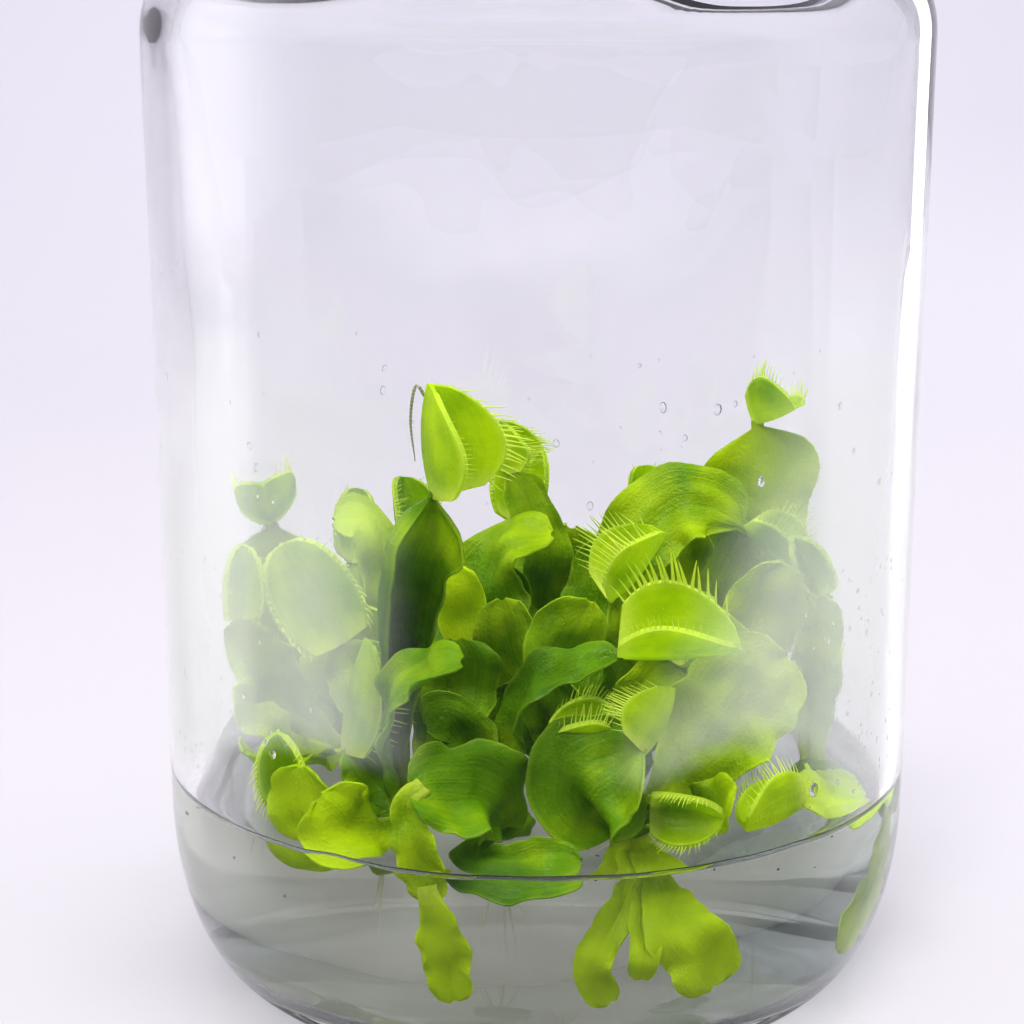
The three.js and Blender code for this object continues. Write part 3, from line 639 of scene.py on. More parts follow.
def gel_section():
    side = WALL_FOOT_RADIUS - WALL + GEL_INTO_GLASS
    reaches = np.linspace(0, 4, 11)
    rings = [(side - reach, GEL_TOP + GEL_CREEP * math.exp(-reach / CREEP_REACH)) for reach in reaches]
    return [
        (0, PUSH_UP + BOTTOM - GEL_INTO_GLASS),
        *reversed(inner_corner(-GEL_INTO_GLASS)),
        *rings,
        *straight(rings[-1], (0, GEL_TOP), steps=34),
        (0, GEL_TOP),
    ]


def raise_round_plants(piece):
    points = coordinates(piece.data)
    x, y, z = points.T / MM
    top = z > GEL_TOP - 0.5
    lift = np.zeros(len(points))
    for cx, cy in CROWNS.values():
        lift += CROWN_RISE * np.exp(-(((x - cx) ** 2 + (y - cy) ** 2) / CROWN_SPREAD))
    for cx, cy, size in WET_PATCHES:
        lift += WET_RISE * np.exp(-(((x - cx) ** 2 + (y - cy) ** 2) / size ** 2))
    for i in np.nonzero(top)[0]:
        lift[i] += GEL_UNEVEN * noise.noise(Vector((x[i] * 0.16, y[i] * 0.16, 3.0)))
    points[top, 2] += lift[top] * MM
    set_coordinates(piece.data, points)


# %% The gel and its material
GEL_BENDS = 1.335
GEL_TINTS = [(0.96, 0.97, 0.95, 1), (0.99, 0.99, 0.98, 1)]
GEL_HAZE = (0.50, 0.52, 0.55, 1)
GEL_DENSITY = 16.0  # what the gel swallows of the light, per metre
GEL_PASSES = (0.38, 0.55, 0.40, 1)  # the colours that it swallows least
GEL_CLOUD = 2.0  # how often it scatters the light, per metre
GEL_CLOUD_COLOUR = (0.92, 0.95, 0.93, 1)


def gel_material():
    material, tree = new_material("set_gel")
    cloud = noise_field(tree, node(tree, "TexCoord").outputs["Object"], 70.0, 3.0)
    tint = blend_colour(tree, remap(tree, cloud, 0.35, 0.65), *GEL_TINTS)
    gel = see_through(tree, tint, GEL_BENDS, roughness=0.03)
    haze = node(tree, "BsdfTranslucent", {"Color": GEL_HAZE})
    cloudy = mix_shaders(tree, remap(tree, cloud, 0.3, 0.7, 0.0, 0.02), gel, haze)
    depth = node(tree, "VolumeAbsorption", {"Color": GEL_PASSES, "Density": GEL_DENSITY})
    cloudiness = node(tree, "VolumeScatter", {"Color": GEL_CLOUD_COLOUR, "Density": GEL_CLOUD})
    both = node(tree, "AddShader", {0: depth.outputs[0], 1: cloudiness.outputs[0]})
    put_out(tree, letting_light_through(tree, cloudy), both)
    return material


gel = spin_section(gel_section())
raise_round_plants(gel)
finish(gel, "growing_gel_body", [gel_material()], smooth_angle=60)
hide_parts("growing_gel")
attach(gel, "root")
print("gel:", len(gel.data.polygons), "faces")

# %% [markdown]
# ## Cloud in the gel
# The gel is clear at the wall and milky further in, where the medium is thick. That is a soft
# cloud with no face of its own, so it is a ball, flattened and made lumpy, whose surface lets
# everything pass and whose inside scatters the light and gives off a painted glow, an emission
# that stands in for light scattered more than once. Its edges stay soft from any side, because
# there is less of it to look through there.

# %% The cloud
CLOUD_CENTRE = (-4.5, 0.5, 11.8)
CLOUD_RADII = (29, 29, 7.3)
CLOUD_LUMPS = 0.10  # how far its surface is pushed in and out, as a share of its size
CLOUD_LUMP_RATE = 2.2
CLOUD_DENSITY = 55.0
CLOUD_COLOUR = (0.86, 0.98, 0.97, 1)
CLOUD_PAINTED_GLOW = 9.5  # painted glow, an emission that stands in for light scattered more than once
CLOUD_PAINTED_GLOW_COLOUR = (1.0, 1.0, 0.90, 1)


def cloud_material():
    material, tree = new_material("milky_gel")
    milk = node(tree, "VolumeScatter", {"Color": CLOUD_COLOUR, "Density": CLOUD_DENSITY})
    # painted glow: an emission added to the scattering in place of light scattered more than once
    painted_glow = node(tree, "Emission", {"Color": CLOUD_PAINTED_GLOW_COLOUR, "Strength": CLOUD_PAINTED_GLOW})
    both = node(tree, "AddShader", {0: milk.outputs[0], 1: painted_glow.outputs[0]})
    put_out(tree, node(tree, "BsdfTransparent", {"Color": WHITE}), both)
    return material


def lumpy_ball(subdivisions, lumps, rate, shift=(0, 0, 0)):
    """A ball of radius 1, and its points once soft noise has pushed them in and out."""
    bpy.ops.mesh.primitive_ico_sphere_add(subdivisions=subdivisions, radius=1.0)
    ball = bpy.context.object
    points = coordinates(ball.data)
    pushed = np.array([noise.noise(Vector(point) * rate + Vector(shift)) for point in points])
    return ball, points * (1 + lumps * pushed)[:, None]


def make_cloud():
    cloud, points = lumpy_ball(5, CLOUD_LUMPS, CLOUD_LUMP_RATE)
    set_coordinates(cloud.data, (points * np.array(CLOUD_RADII) + np.array(CLOUD_CENTRE)) * MM)
    return finish(cloud, "gel_cloud", [cloud_material()], smooth_angle=60)


cloud = make_cloud()
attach(cloud, "root")
print("cloud:", len(cloud.data.polygons), "faces")

# %% [markdown]
# ## How a leaf grows
# Each leaf follows a route from its crown to the neck of its trap, or to its tip. The leaf stalk
# is as broad as a blade. It is a flat sheet that is widest near the end, rolled up a little at
# both sides and waved along its edges. The route, the way the upper side looks and a few sizes
# are all that a leaf needs, so the leaves are written as a short table: lengths in millimetres,
# angles in degrees, directions as (azimuth, elevation). It is the solids' table with two changes.
# The last leaves of some plantlets are added, to close the gaps inside the clump, and the highest
# traps at the left and right are turned so that both their lobes can be seen.

# %% What the table's rows say
def leaf(route, faces, width, roll, tones, wave=0.0, broadest=0.7, lighter=0.14, trap=None):
    """Route; where the upper side looks, first and last; width; how many degrees each half is
    rolled; how light blade and trap are, from deep green at 0 to yellow-green at 1, set lighter as
    painted light where a leaf lies in shade; how wavy the edge is; where along it it is broadest;
    how much it lightens towards its tip; its trap."""
    return dict(route=route, faces=faces, width=width, roll=roll, wave=wave,
                broadest=broadest, trap=trap, tones=tones, lighter=lighter)


def trap(length, depth, gape, heads, opens, curl, teeth=(1, 1)):
    """Length of the midrib; depth of a lobe; angle between the lobes; where the midrib heads;
    where the mouth opens to; how much the midrib curls; size of the teeth on each lobe."""
    return dict(length=length, depth=depth, gape=gape, heads=heads, opens=opens, curl=curl, teeth=teeth)


# %% The leaves of each plantlet
# tones set lighter than a leaf's own green are painted light, lifting leaves that lie in shade in the clump
# and in the gel
PLANTS = {}
PLANTS["plantlet_front_left"] = [
    leaf([(-12.8, -16, 19.4), (-13.8, -15.6, 28), (-13.4, -15, 37), (-12.4, -15, 45),
          (-9.6, -16.6, 51.6)], [(-62, 5)], 13, 112, (0.2, 0.97), broadest=0.85, lighter=0.6,
         trap=trap(11, 7.2, 62, (168, 74), (-28, 5), 34, teeth=(0.3, 0.85))),
    leaf([(-13, -17.5, 19.4), (-14, -21, 28), (-12.6, -23.5, 34.4), (-9.8, -25, 37.4),
          (-6.8, -25.5, 37.8)], [(-145, 45)], 5.6, 25, (0.5, 0.5), wave=0.5),
    leaf([(-13, -15.5, 19.4), (-15.5, -14.5, 22.5), (-18.5, -14, 26)], [(-160, 60)], 4.5, 20, (0.6, 0.7),
         trap=trap(11.5, 4.8, 56, (100, 84), (-15, 0), 26)),
    leaf([(-13, -17.4, 19.4), (-14.6, -22.2, 20.6), (-17.4, -25, 22.2), (-19.8, -25.4, 25)], [(-100, 42)],
         8, 20, (0.78, 0.78), wave=0.5),
    leaf([(-13.4, -17, 18.8), (-17, -19.6, 19), (-20, -21.6, 20.2), (-21.2, -22.4, 23.4),
          (-21.4, -22.2, 27)], [(-120, 20)], 7.4, 18, (0.74, 0.74), wave=0.4),
    leaf([(-13.5, -15.6, 19.4), (-18, -15.8, 21), (-22, -16.4, 20.8)], [(-100, 70)], 4, 15, (0.7, 0.7),
         trap=trap(9, 4.4, 70, (128, 74), (-106, 12), 40)),
    leaf([(-12.5, -14.6, 19.4), (-14.4, -12, 25), (-17, -10.5, 31), (-19.4, -9.5, 35.4)], [(-90, 20)],
         6.5, 25, (0.66, 0.7), wave=0.4, trap=trap(11.5, 6, 84, (150, 52), (-75, 5), 30)),
    leaf([(-12, -15, 19.4), (-9.6, -12.8, 25), (-8, -11, 31), (-8, -10.4, 36)], [(-90, 12)], 9, 24,
         (0.5, 0.5), wave=0.5),
]
PLANTS["plantlet_front_centre"] = [
    leaf([(-2.6, -18, 19.4), (-2.6, -18, 27.5), (-1, -19, 33), (2.8, -20, 36), (8, -20.6, 37)],
         [(-135, 40)], 5.4, 30, (0.42, 0.95), wave=0.4, broadest=0.62,
         trap=trap(11, 7.2, 54, (-4, -4), (-90, 64), 26, teeth=(1.35, 0.4))),
    leaf([(-3, -19, 19.4), (-3, -22.5, 22.4), (-5.4, -25.6, 25.4), (-8.8, -27.4, 26.4),
          (-11.6, -28, 26.2)], [(-80, 30), (-110, 35)], 9.5, 28, (0.5, 0.5), wave=0.6, broadest=0.58),
    leaf([(-10.4, -27.6, 26.8), (-11.8, -28.8, 25.4), (-10.8, -29.8, 21.6), (-9, -30, 17.2)],
         [(-100, 30), (-100, -10)], 4, 24, (0.85, 0.85), broadest=0.62),
    leaf([(-9.6, -29.8, 18.6), (-8.4, -29.8, 14), (-7.2, -28.8, 7.6)], [(-100, 0)], 4.4, 20, (1.1, 1.1),
         broadest=0.52),
    leaf([(-3.2, -19, 18.8), (-5.4, -22.6, 18.9), (-5.8, -26.6, 18.9), (-2.4, -29.4, 19.2),
          (3.8, -29.6, 20.2)], [(-90, 42)], 5.6, 20, (0.3, 0.3), broadest=0.72),
    leaf([(-3.6, -17, 19.4), (-5.4, -17.4, 26), (-8, -17.8, 30), (-10.6, -18.4, 29.4)], [(-110, 30)], 5.4,
         20, (0.38, 0.38), wave=0.7),
]
PLANTS["plantlet_front_right"] = [
    leaf([(7.6, -18.4, 19.4), (4.8, -22.4, 22.4), (4.4, -25.6, 26), (7.2, -26.4, 28.8),
          (9.6, -26.6, 30.2)], [(-95, 40)], 11.5, 34, (0.45, 0.85), wave=0.4, broadest=0.6,
         trap=trap(6.6, 4.2, 62, (20, 42), (150, 42), 40)),
    leaf([(8, -17, 19.4), (8.6, -18.6, 25), (8.4, -20.4, 28.6), (6.8, -21.8, 29)], [(-60, 60), (-90, 80)],
         4.4, 20, (0.55, 0.85), trap=trap(7, 4.4, 50, (184, -4), (-90, 68), 30)),
    leaf([(9.6, -16.8, 19.4), (14.4, -15.6, 25), (19.4, -13.2, 30.8), (24, -11.6, 34.4)], [(-95, 12)],
         11.5, 22, (0.98, 0.98), wave=0.7, broadest=0.66),
    leaf([(9, -18.8, 19.4), (9.4, -22.6, 22.4), (10.6, -25, 23.9)], [(-90, 60)], 3.2, 15, (0.6, 0.7),
         trap=trap(6.8, 3.8, 84, (0, -2), (-90, -4), 34)),
    leaf([(9.2, -18.6, 17.6), (10.4, -24.5, 16), (12, -27.6, 13.6), (14, -27.8, 11), (15.2, -27, 8)],
         [(-80, 30), (-70, -10)], 6.8, 20, (1, 1), broadest=0.8),
    leaf([(8.2, -19, 17.6), (7, -25, 15.4), (5.2, -28.4, 12.6), (4.4, -28.6, 10), (6.2, -27.6, 7)],
         [(-90, 30), (-90, -5)], 3.4, 15, (1, 1)),
    leaf([(8.8, -19, 17.4), (9, -25.4, 14.8), (9, -28.6, 11.8), (8.6, -28.4, 9.4)],
         [(-90, 30), (-90, -5)], 2.8, 15, (1, 1)),
    leaf([(10, -18.2, 19.4), (14.5, -21.5, 21.4), (17.8, -23.4, 25.4)], [(-100, 55)], 5.6, 20, (0.8, 0.8),
         wave=0.5),
]
PLANTS["plantlet_right"] = [
    leaf([(29.8, -4, 19.2), (30.2, -8, 20), (28.4, -12.8, 20.6), (25, -17, 21.2)],
         [(-90, 50), (-100, 30)], 6.4, 18, (0.9, 0.8), wave=0.4, broadest=0.55,
         trap=trap(9, 4.4, 46, (-130, -14), (178, 52), 26)),
    leaf([(29.6, -4, 17.6), (29.8, -9.4, 12.6), (28, -13.4, 9.4), (26.2, -15, 6.8)],
         [(-30, 20), (-40, -10)], 5, 15, (0.8, 0.8)),
    leaf([(29.6, -2.4, 19.4), (30, -1, 27), (29.4, -1.4, 34.4), (28, -2.6, 38.6)], [(-100, 10)], 6, 25,
         (0.7, 0.7), wave=0.4, trap=trap(7.4, 4, 60, (180, 62), (-90, 25), 30)),
    leaf([(29, -2, 19.4), (28.6, 2.5, 24), (29.4, 6, 31), (29.6, 8, 36.5)], [(-80, 20)], 7, 25,
         (0.7, 0.7), wave=0.5),
]
PLANTS["plantlet_middle"] = [
    leaf([(3.6, -4, 19.4), (7.6, -5, 27), (8.8, -6.4, 33.6), (7.6, -7.4, 39)], [(-60, 20)], 5, 20,
         (0.58, 0.85), trap=trap(8.8, 5.8, 66, (14, 32), (-160, 58), 34)),
    leaf([(2.8, -5, 19.4), (1, -9, 27.6), (2, -10.6, 34.6), (5, -10.8, 39.8)], [(-70, 12)], 8, 25,
         (0.6, 0.6), wave=0.4),
    leaf([(2.2, -4.6, 19.4), (-0.8, -8, 28), (-3, -9.2, 35), (-3.8, -8.8, 39.6)], [(-105, 5)], 6.6, 25,
         (0.74, 0.74)),
    leaf([(1.8, -3.6, 19.4), (-3.6, -5, 28), (-7, -6, 35.4), (-8, -6, 42)], [(-90, 15)], 4.6, 20,
         (0.98, 0.98)),
    leaf([(2, -3, 19.4), (-2.4, -1, 29), (-5, 0.6, 37.6), (-3.4, 1, 42.6), (1.4, 1, 43.4)], [(-125, 50)],
         9, 28, (0.62, 0.62), wave=0.5),
    leaf([(3.8, -4.6, 19.4), (9, -7.8, 25.4), (12.4, -9.4, 30.2), (14.4, -10, 33.4)], [(-80, 30)], 8, 25,
         (0.64, 0.75), wave=0.4, trap=trap(7.6, 4.6, 60, (40, 50), (-120, 40), 30)),
    leaf([(2.6, -3.6, 19.4), (-1.6, -1, 27), (-5.2, 1.6, 34), (-7, 3, 40)], [(-95, 12)], 12, 24,
         (0.5, 0.5), wave=0.6),
    leaf([(3.6, -3.4, 19.4), (5.4, 1, 27), (7.6, 4.6, 35), (8.6, 6.4, 41.6)], [(-82, 10)], 12, 22,
         (0.48, 0.48), wave=0.6),
    leaf([(3, -4.6, 19.4), (1.6, -7.4, 23.6), (0.4, -9.4, 28.4), (0, -10, 32)], [(-100, 20)], 10, 24,
         (0.42, 0.42), wave=0.6),
    leaf([(3.8, -3.8, 19.4), (10, -3.6, 26), (15.6, -4.4, 33), (18, -5, 37.6)], [(-84, 16)], 12, 20,
         (0.8, 0.8), wave=0.7),
]
PLANTS["plantlet_back_right"] = [
    leaf([(14.6, 12, 19.4), (18.6, 13, 29), (22.8, 13.6, 39), (25, 13.8, 46.6), (24.2, 13.6, 52.6)],
         [(-95, 8)], 12, 20, (0.9, 0.85), wave=0.5, broadest=0.83,
         trap=trap(7, 4.8, 76, (-60, 10), (10, 62), 26)),
    leaf([(13.4, 11.4, 19.4), (9.8, 9, 30), (10.2, 8, 38), (13.8, 7.6, 43.6), (18.8, 7.4, 45),
          (22.4, 7.2, 42.4)], [(-106, 32)], 10, 24, (0.66, 0.8), wave=0.4, broadest=0.68,
         trap=trap(8, 5, 64, (-20, -52), (-30, 32), 24)),
    leaf([(14.6, 11, 19.4), (19.4, 6, 27), (23.6, 2.6, 35), (25.4, 1.4, 40.4)], [(-80, 15)], 8, 25,
         (0.92, 0.92), wave=0.5),
    leaf([(15, 12.8, 19.4), (20.6, 16, 26), (24.6, 18, 34), (25.6, 18.4, 38.6)], [(-140, 35)], 7, 28,
         (0.9, 0.75), trap=trap(8.4, 4.8, 64, (120, 66), (-160, 20), 30)),
    leaf([(14.2, 13, 19.4), (15.4, 19, 26), (15, 23.6, 33), (13.8, 25.4, 37.4)], [(-95, 40)], 7.6, 26,
         (0.8, 0.7), wave=0.5, trap=trap(9, 5, 62, (100, 50), (-90, 42), 30)),
    leaf([(13.2, 13, 19.4), (9.6, 18.4, 23), (8.2, 23.4, 26), (8.4, 27, 27.4)], [(0, 88)], 7, 24,
         (0.8, 0.8), wave=0.5),
    leaf([(13.6, 11.4, 19.4), (12.4, 12, 30), (13.6, 12.4, 39), (15.6, 12.4, 46)], [(-92, 12)], 12, 20,
         (0.95, 0.95), wave=0.6),
]
PLANTS["plantlet_back_centre"] = [
    leaf([(-2.4, 9.6, 19.4), (0.4, 8, 31), (0.6, 6.6, 40), (-1.8, 6, 46.2), (-3.6, 5.8, 49.4)],
         [(-60, 30)], 6.4, 24, (0.55, 0.8), broadest=0.74,
         trap=trap(5.6, 4, 50, (170, 66), (-20, 10), 40)),
    leaf([(-3.2, 11, 19.4), (-4, 16, 27), (-3.4, 20, 35), (-2.4, 22, 40.4)], [(-90, 35)], 8.4, 26,
         (0.55, 0.65), wave=0.5, trap=trap(9.4, 5.4, 64, (85, 52), (-90, 40), 30)),
    leaf([(-2.4, 11, 19.4), (1, 17, 22.6), (1.4, 23, 26), (1, 27.4, 28.6)], [(-90, 80)], 7.4, 24,
         (0.6, 0.65), wave=0.5, trap=trap(7.2, 4, 70, (100, 70), (-90, 15), 20)),
    leaf([(-3.8, 10.8, 19.4), (-9.4, 16, 25), (-12.6, 20.6, 31.6), (-14, 22.8, 36.6)], [(-60, 50)], 8, 26,
         (0.6, 0.65), wave=0.5, trap=trap(8.6, 4.6, 62, (110, 58), (-60, 32), 28)),
    leaf([(-3.6, 9.4, 19.4), (-9, 6.4, 27), (-12.4, 4.4, 34.6), (-13.2, 3.6, 39.6)], [(-90, 20)], 7, 25,
         (0.5, 0.5), wave=0.4),
    leaf([(-2.6, 10.2, 19.4), (0.6, 11, 29), (2.6, 11.4, 38), (3.4, 11.6, 42)], [(-90, 10)], 13, 20,
         (0.6, 0.6), wave=0.6),
]
PLANTS["plantlet_left_back"] = [
    leaf([(-20.4, 4.2, 19.4), (-24.4, 5.4, 28), (-26.8, 6, 36.4), (-27.8, 5.6, 43.4)], [(-95, 10)], 9.4,
         25, (0.8, 0.8), wave=0.5, broadest=0.74, trap=trap(8, 4.4, 90, (-85, 35), (150, 74), 20)),
    leaf([(-19.4, 4.8, 19.4), (-16.8, 9, 28), (-16.2, 11, 37), (-18.2, 11.4, 42), (-21.8, 11.4, 42)],
         [(-50, 55)], 7.4, 24, (0.85, 0.85), wave=0.4),
    leaf([(-20.6, 3.4, 19.4), (-25, 0.4, 26), (-28.6, -2, 32.6), (-29.6, -3, 36.4)], [(-90, 25)], 6.4, 24,
         (0.85, 0.8), wave=0.4, trap=trap(7.6, 4, 60, (100, 78), (-75, 8), 26)),
    leaf([(-20.6, 3, 19.4), (-24.6, -3, 23), (-28, -6.6, 27), (-29.8, -8.6, 30)], [(-100, 55)], 6.4, 24,
         (0.9, 0.9), wave=0.5),
    leaf([(-20, 2.8, 19.4), (-23, -5, 21.4), (-26, -10.4, 23), (-27.8, -13.6, 25)], [(-100, 75)], 6.6, 24,
         (0.9, 0.9), wave=0.5),
    leaf([(-20.8, 4.6, 19.4), (-26, 9.6, 24), (-28.4, 12, 31), (-28.4, 12.4, 36.4)], [(-45, 30)], 7, 26,
         (0.8, 0.8), wave=0.4),
    leaf([(-20, 5.2, 19.4), (-20.6, 12, 24.4), (-20.4, 17.6, 31), (-20.4, 20, 36)], [(-70, 40)], 8, 26,
         (0.8, 0.7), wave=0.5, trap=trap(8.6, 4.8, 62, (80, 52), (-80, 38), 30)),
    leaf([(-19.4, 3.4, 19.4), (-18, -2, 26), (-17.6, -5, 32), (-17.8, -6, 38)], [(-92, 14)], 11, 22,
         (0.85, 0.85), wave=0.7),
]
print("leaves:", sum(len(leaves) for leaves in PLANTS.values()))


# %% Routes and directions
def direction(azimuth, elevation):
    a, e = math.radians(azimuth), math.radians(elevation)
    return np.array([math.cos(a) * math.cos(e), math.sin(a) * math.cos(e), math.sin(e)])


def unit(vectors):
    return vectors / np.linalg.norm(vectors, axis=-1, keepdims=True)


def square_to(vectors, axis):
    return unit(vectors - np.sum(vectors * axis, axis=-1, keepdims=True) * axis)


def smooth_route(points, count=160):
    """Points evenly along a smooth curve through the given ones, with its length."""
    p = np.array(points, dtype=float)
    p = np.vstack([2 * p[0] - p[1], p, 2 * p[-1] - p[-2]])
    bends = []
    for i in range(1, len(p) - 2):
        t = np.linspace(0, 1, 60, endpoint=False)[:, None]
        start, end = (p[i + 1] - p[i - 1]) / 2, (p[i + 2] - p[i]) / 2
        span = p[i + 1] - p[i]
        bends.append(p[i] + start * t + (3 * span - 2 * start - end) * t ** 2
                     + (start + end - 2 * span) * t ** 3)
    fine = np.vstack(bends + [p[-2:-1]])
    along = np.concatenate([[0], np.cumsum(np.linalg.norm(np.diff(fine, axis=0), axis=1))])
    even = np.linspace(0, along[-1], count)
    return np.stack([np.interp(even, along, fine[:, k]) for k in range(3)], axis=1), along[-1]


# %% [markdown]
# ## Blades
# A grid is the natural start for a blade: its columns run along the leaf and its rows across.
# Every point of the grid is carried to its place on the leaf, a group of weights says how thick
# the leaf is there, and Solidify gives it that thickness. The edge gets a finer ruffle than the
# solids have, and a shallow groove runs down the middle.

# %% Shape of a blade
BASE_HALF_WIDTH = 0.9
NECK_HALF_WIDTH = 0.7
TIP_HALF_WIDTH = 0.5
TRAP_NECK = 0.96  # how far along the leaf the neck of its trap begins
FULLNESS = 2.6  # how squarely the blade rounds off towards its end
WAVE_RATE = 14
EDGE_WAVE = 1.8
RUFFLE_RATE = 31
RUFFLE = 0.27
RAGGED = (0.26, 0.07)  # how much its width wanders, slowly and quickly
CRUMPLE = 1.1
GROOVE = -0.10
NOTCH = 0.012  # depth of the notch in a tip that bears no trap, as a share of the leaf


def half_width(leaf, u):
    end = NECK_HALF_WIDTH if leaf["trap"] else TIP_HALF_WIDTH
    finish_at = TRAP_NECK if leaf["trap"] else 1.0
    full = leaf["width"] / 2
    rising = BASE_HALF_WIDTH + (full - BASE_HALF_WIDTH) * smoothstep(u, 0, leaf["broadest"])
    fall = np.clip((u - leaf["broadest"]) / (finish_at - leaf["broadest"]), 0, 1)
    falling = end + (full - end) * (1 - fall ** FULLNESS) ** (1 / FULLNESS)
    return np.where(u < leaf["broadest"], rising, falling)


def wander(a, b, seed, size):
    """Soft irregular numbers about nought, of the given size."""
    spots = np.broadcast_arrays(a, b)
    return size * np.array([noise.noise(Vector((p, q, seed))) for p, q in zip(*spots)])


def frame_along(leaf, u):
    """Middle line, way along, way up and length of the leaf at u along it (0 to 1)."""
    path, length = smooth_route(leaf["route"])
    steps = np.linspace(0, 1, len(path))
    middle = np.stack([np.interp(u, steps, path[:, k]) for k in range(3)], axis=1)
    slopes = unit(np.gradient(path, axis=0))
    tangent = unit(np.stack([np.interp(u, steps, slopes[:, k]) for k in range(3)], axis=1))
    first, last = direction(*leaf["faces"][0]), direction(*leaf["faces"][-1])
    return middle, tangent, square_to(first + (last - first) * u[:, None], tangent), length


def blade_points(leaf, u, s, seed):
    """Places of the blade at u along it (0 to 1) and s across it (-1 to 1), in millimetres."""
    if not leaf["trap"]:
        u = u - NOTCH * np.exp(-(s / 0.3) ** 2) * smoothstep(u, 0.8, 1.0)
    middle, tangent, up, length = frame_along(leaf, u)
    side = np.cross(tangent, up)
    half = half_width(leaf, u)
    roll = math.radians(leaf["roll"])
    broad = 2 * half / leaf["width"]
    slow, quick = RAGGED
    ragged = wander(6 * u, 3 * np.sign(s), seed, slow) + wander(17 * u, 5 * np.sign(s), seed, quick)
    half = half * (1 + ragged * broad * (1 - smoothstep(u, 0.8, 0.97)))
    radius = half / roll
    wave = EDGE_WAVE * leaf["wave"] * s ** 2 * broad * np.sin(WAVE_RATE * u + s)
    ripples = RUFFLE_RATE * u * (0.8 + 0.02 * length) + 2.1 * s + seed
    ruffle = RUFFLE * np.abs(s) ** 5 * broad * np.sin(ripples)
    groove = GROOVE * np.exp(-(s / 0.12) ** 2) * broad
    crumple = wander(0.28 * length * u, 0.2 * leaf["width"] * s, seed, CRUMPLE)
    rise = radius * (1 - np.cos(s * roll)) + wave + ruffle + groove + crumple * broad
    return middle + side * (radius * np.sin(s * roll))[:, None] + up * rise[:, None]


# %% Sheets with a thickness
BLADE_ROWS = 44
BLADE_COLUMNS = 14
BASE_THICKNESS = 1.0
BLADE_THICKNESS = 0.42
EDGE_THINS = 0.62  # share of its thickness that a blade loses towards its edge


def sheet_of(name, columns, rows, place, thickness, thickest, tone):
    """A grid whose points are carried by place(u, s), marked with its tone and thickened."""
    bpy.ops.mesh.primitive_grid_add(x_subdivisions=columns, y_subdivisions=rows, size=2)
    piece = bpy.context.object
    piece.name = name
    flat = coordinates(piece.data)
    s, u = flat[:, 0], (flat[:, 1] + 1) / 2
    set_coordinates(piece.data, place(u, s) * MM)
    mark_tone(piece, tone(u))
    weights = piece.vertex_groups.new(name="thick")
    for i, share in enumerate(thickness(u, s) / thickest):
        weights.add([i], float(share), "REPLACE")
    solid = piece.modifiers.new("thickness", "SOLIDIFY")
    solid.thickness = thickest * MM
    solid.offset = 0
    solid.vertex_group = "thick"
    only(piece)
    bpy.ops.object.modifier_apply(modifier="thickness")
    piece.vertex_groups.clear()
    return piece


def make_blade(leaf, seed):
    def thickness(u, s):
        along = np.interp(u, [0, 0.3, 1], [BASE_THICKNESS, BLADE_THICKNESS, BLADE_THICKNESS])
        return along * (1 - EDGE_THINS * np.abs(s) ** 5)

    def tone(u):
        return leaf["tones"][0] + leaf["lighter"] * smoothstep(u, 0.5, 0.95)

    return sheet_of("blade", BLADE_COLUMNS, BLADE_ROWS, lambda u, s: blade_points(leaf, u, s, seed),
                    thickness, BASE_THICKNESS, tone)


# %% [markdown]
# ## Traps
# A trap is two lobes hinged on a curved midrib. It is made from a grid in the same way: the middle
# column becomes the midrib and each half becomes one lobe, cupped over its whole depth, with a
# thicker rim. Three fine trigger hairs stand on each lobe's inner face.

# %% Shape of a trap
TRAP_ROWS = 28
TRAP_COLUMNS = 22
TRAP_THICKNESS = 0.42
MIDRIB_THICKNESS = 0.95
MIDRIB_WIDTH = 0.07
RIM_THICKER = 0.14
TRAP_SINK = 0.6  # how far the midrib starts inside the end of the leaf stalk
LOBE_BULGE = 42
LOBE_DEEPEST = 0.42
LOBE_BEHIND = 0.55
LOBE_AHEAD = 0.6


def trap_frame(leaf):
    trap = leaf["trap"]
    ahead = direction(*trap["heads"])
    mouth = square_to(direction(*trap["opens"]), ahead)
    start = np.array(leaf["route"][-1]) - TRAP_SINK * ahead
    return start, ahead, mouth, np.cross(ahead, mouth)


def trap_points(leaf, v, s):
    """Places of the trap at v along its midrib (0 to 1) and s across both lobes (-1 to 1)."""
    trap = leaf["trap"]
    start, ahead, mouth, side = trap_frame(leaf)
    bend, bulge = math.radians(trap["curl"]), math.radians(LOBE_BULGE)
    w = (v - LOBE_DEEPEST) / np.where(v < LOBE_DEEPEST, LOBE_BEHIND, LOBE_AHEAD)
    reach = np.abs(s) * trap["depth"] * np.sqrt(np.maximum(1 - w ** 2, 0.02))
    begin = math.radians(trap["gape"] / 2) + bulge / 2
    end = begin - bulge * reach / trap["depth"]
    radius = trap["depth"] / bulge
    spine = ahead * (trap["length"] * np.sin(bend * v) / bend)[:, None]
    spine = spine + mouth * (trap["length"] * (1 - np.cos(bend * v)) / bend)[:, None]
    inward = mouth * np.cos(bend * v)[:, None] - ahead * np.sin(bend * v)[:, None]
    lift = radius * (math.sin(begin) - np.sin(end))
    spread = np.sign(s) * radius * (np.cos(end) - math.cos(begin))
    return start + spine + inward * lift[:, None] + side * spread[:, None]


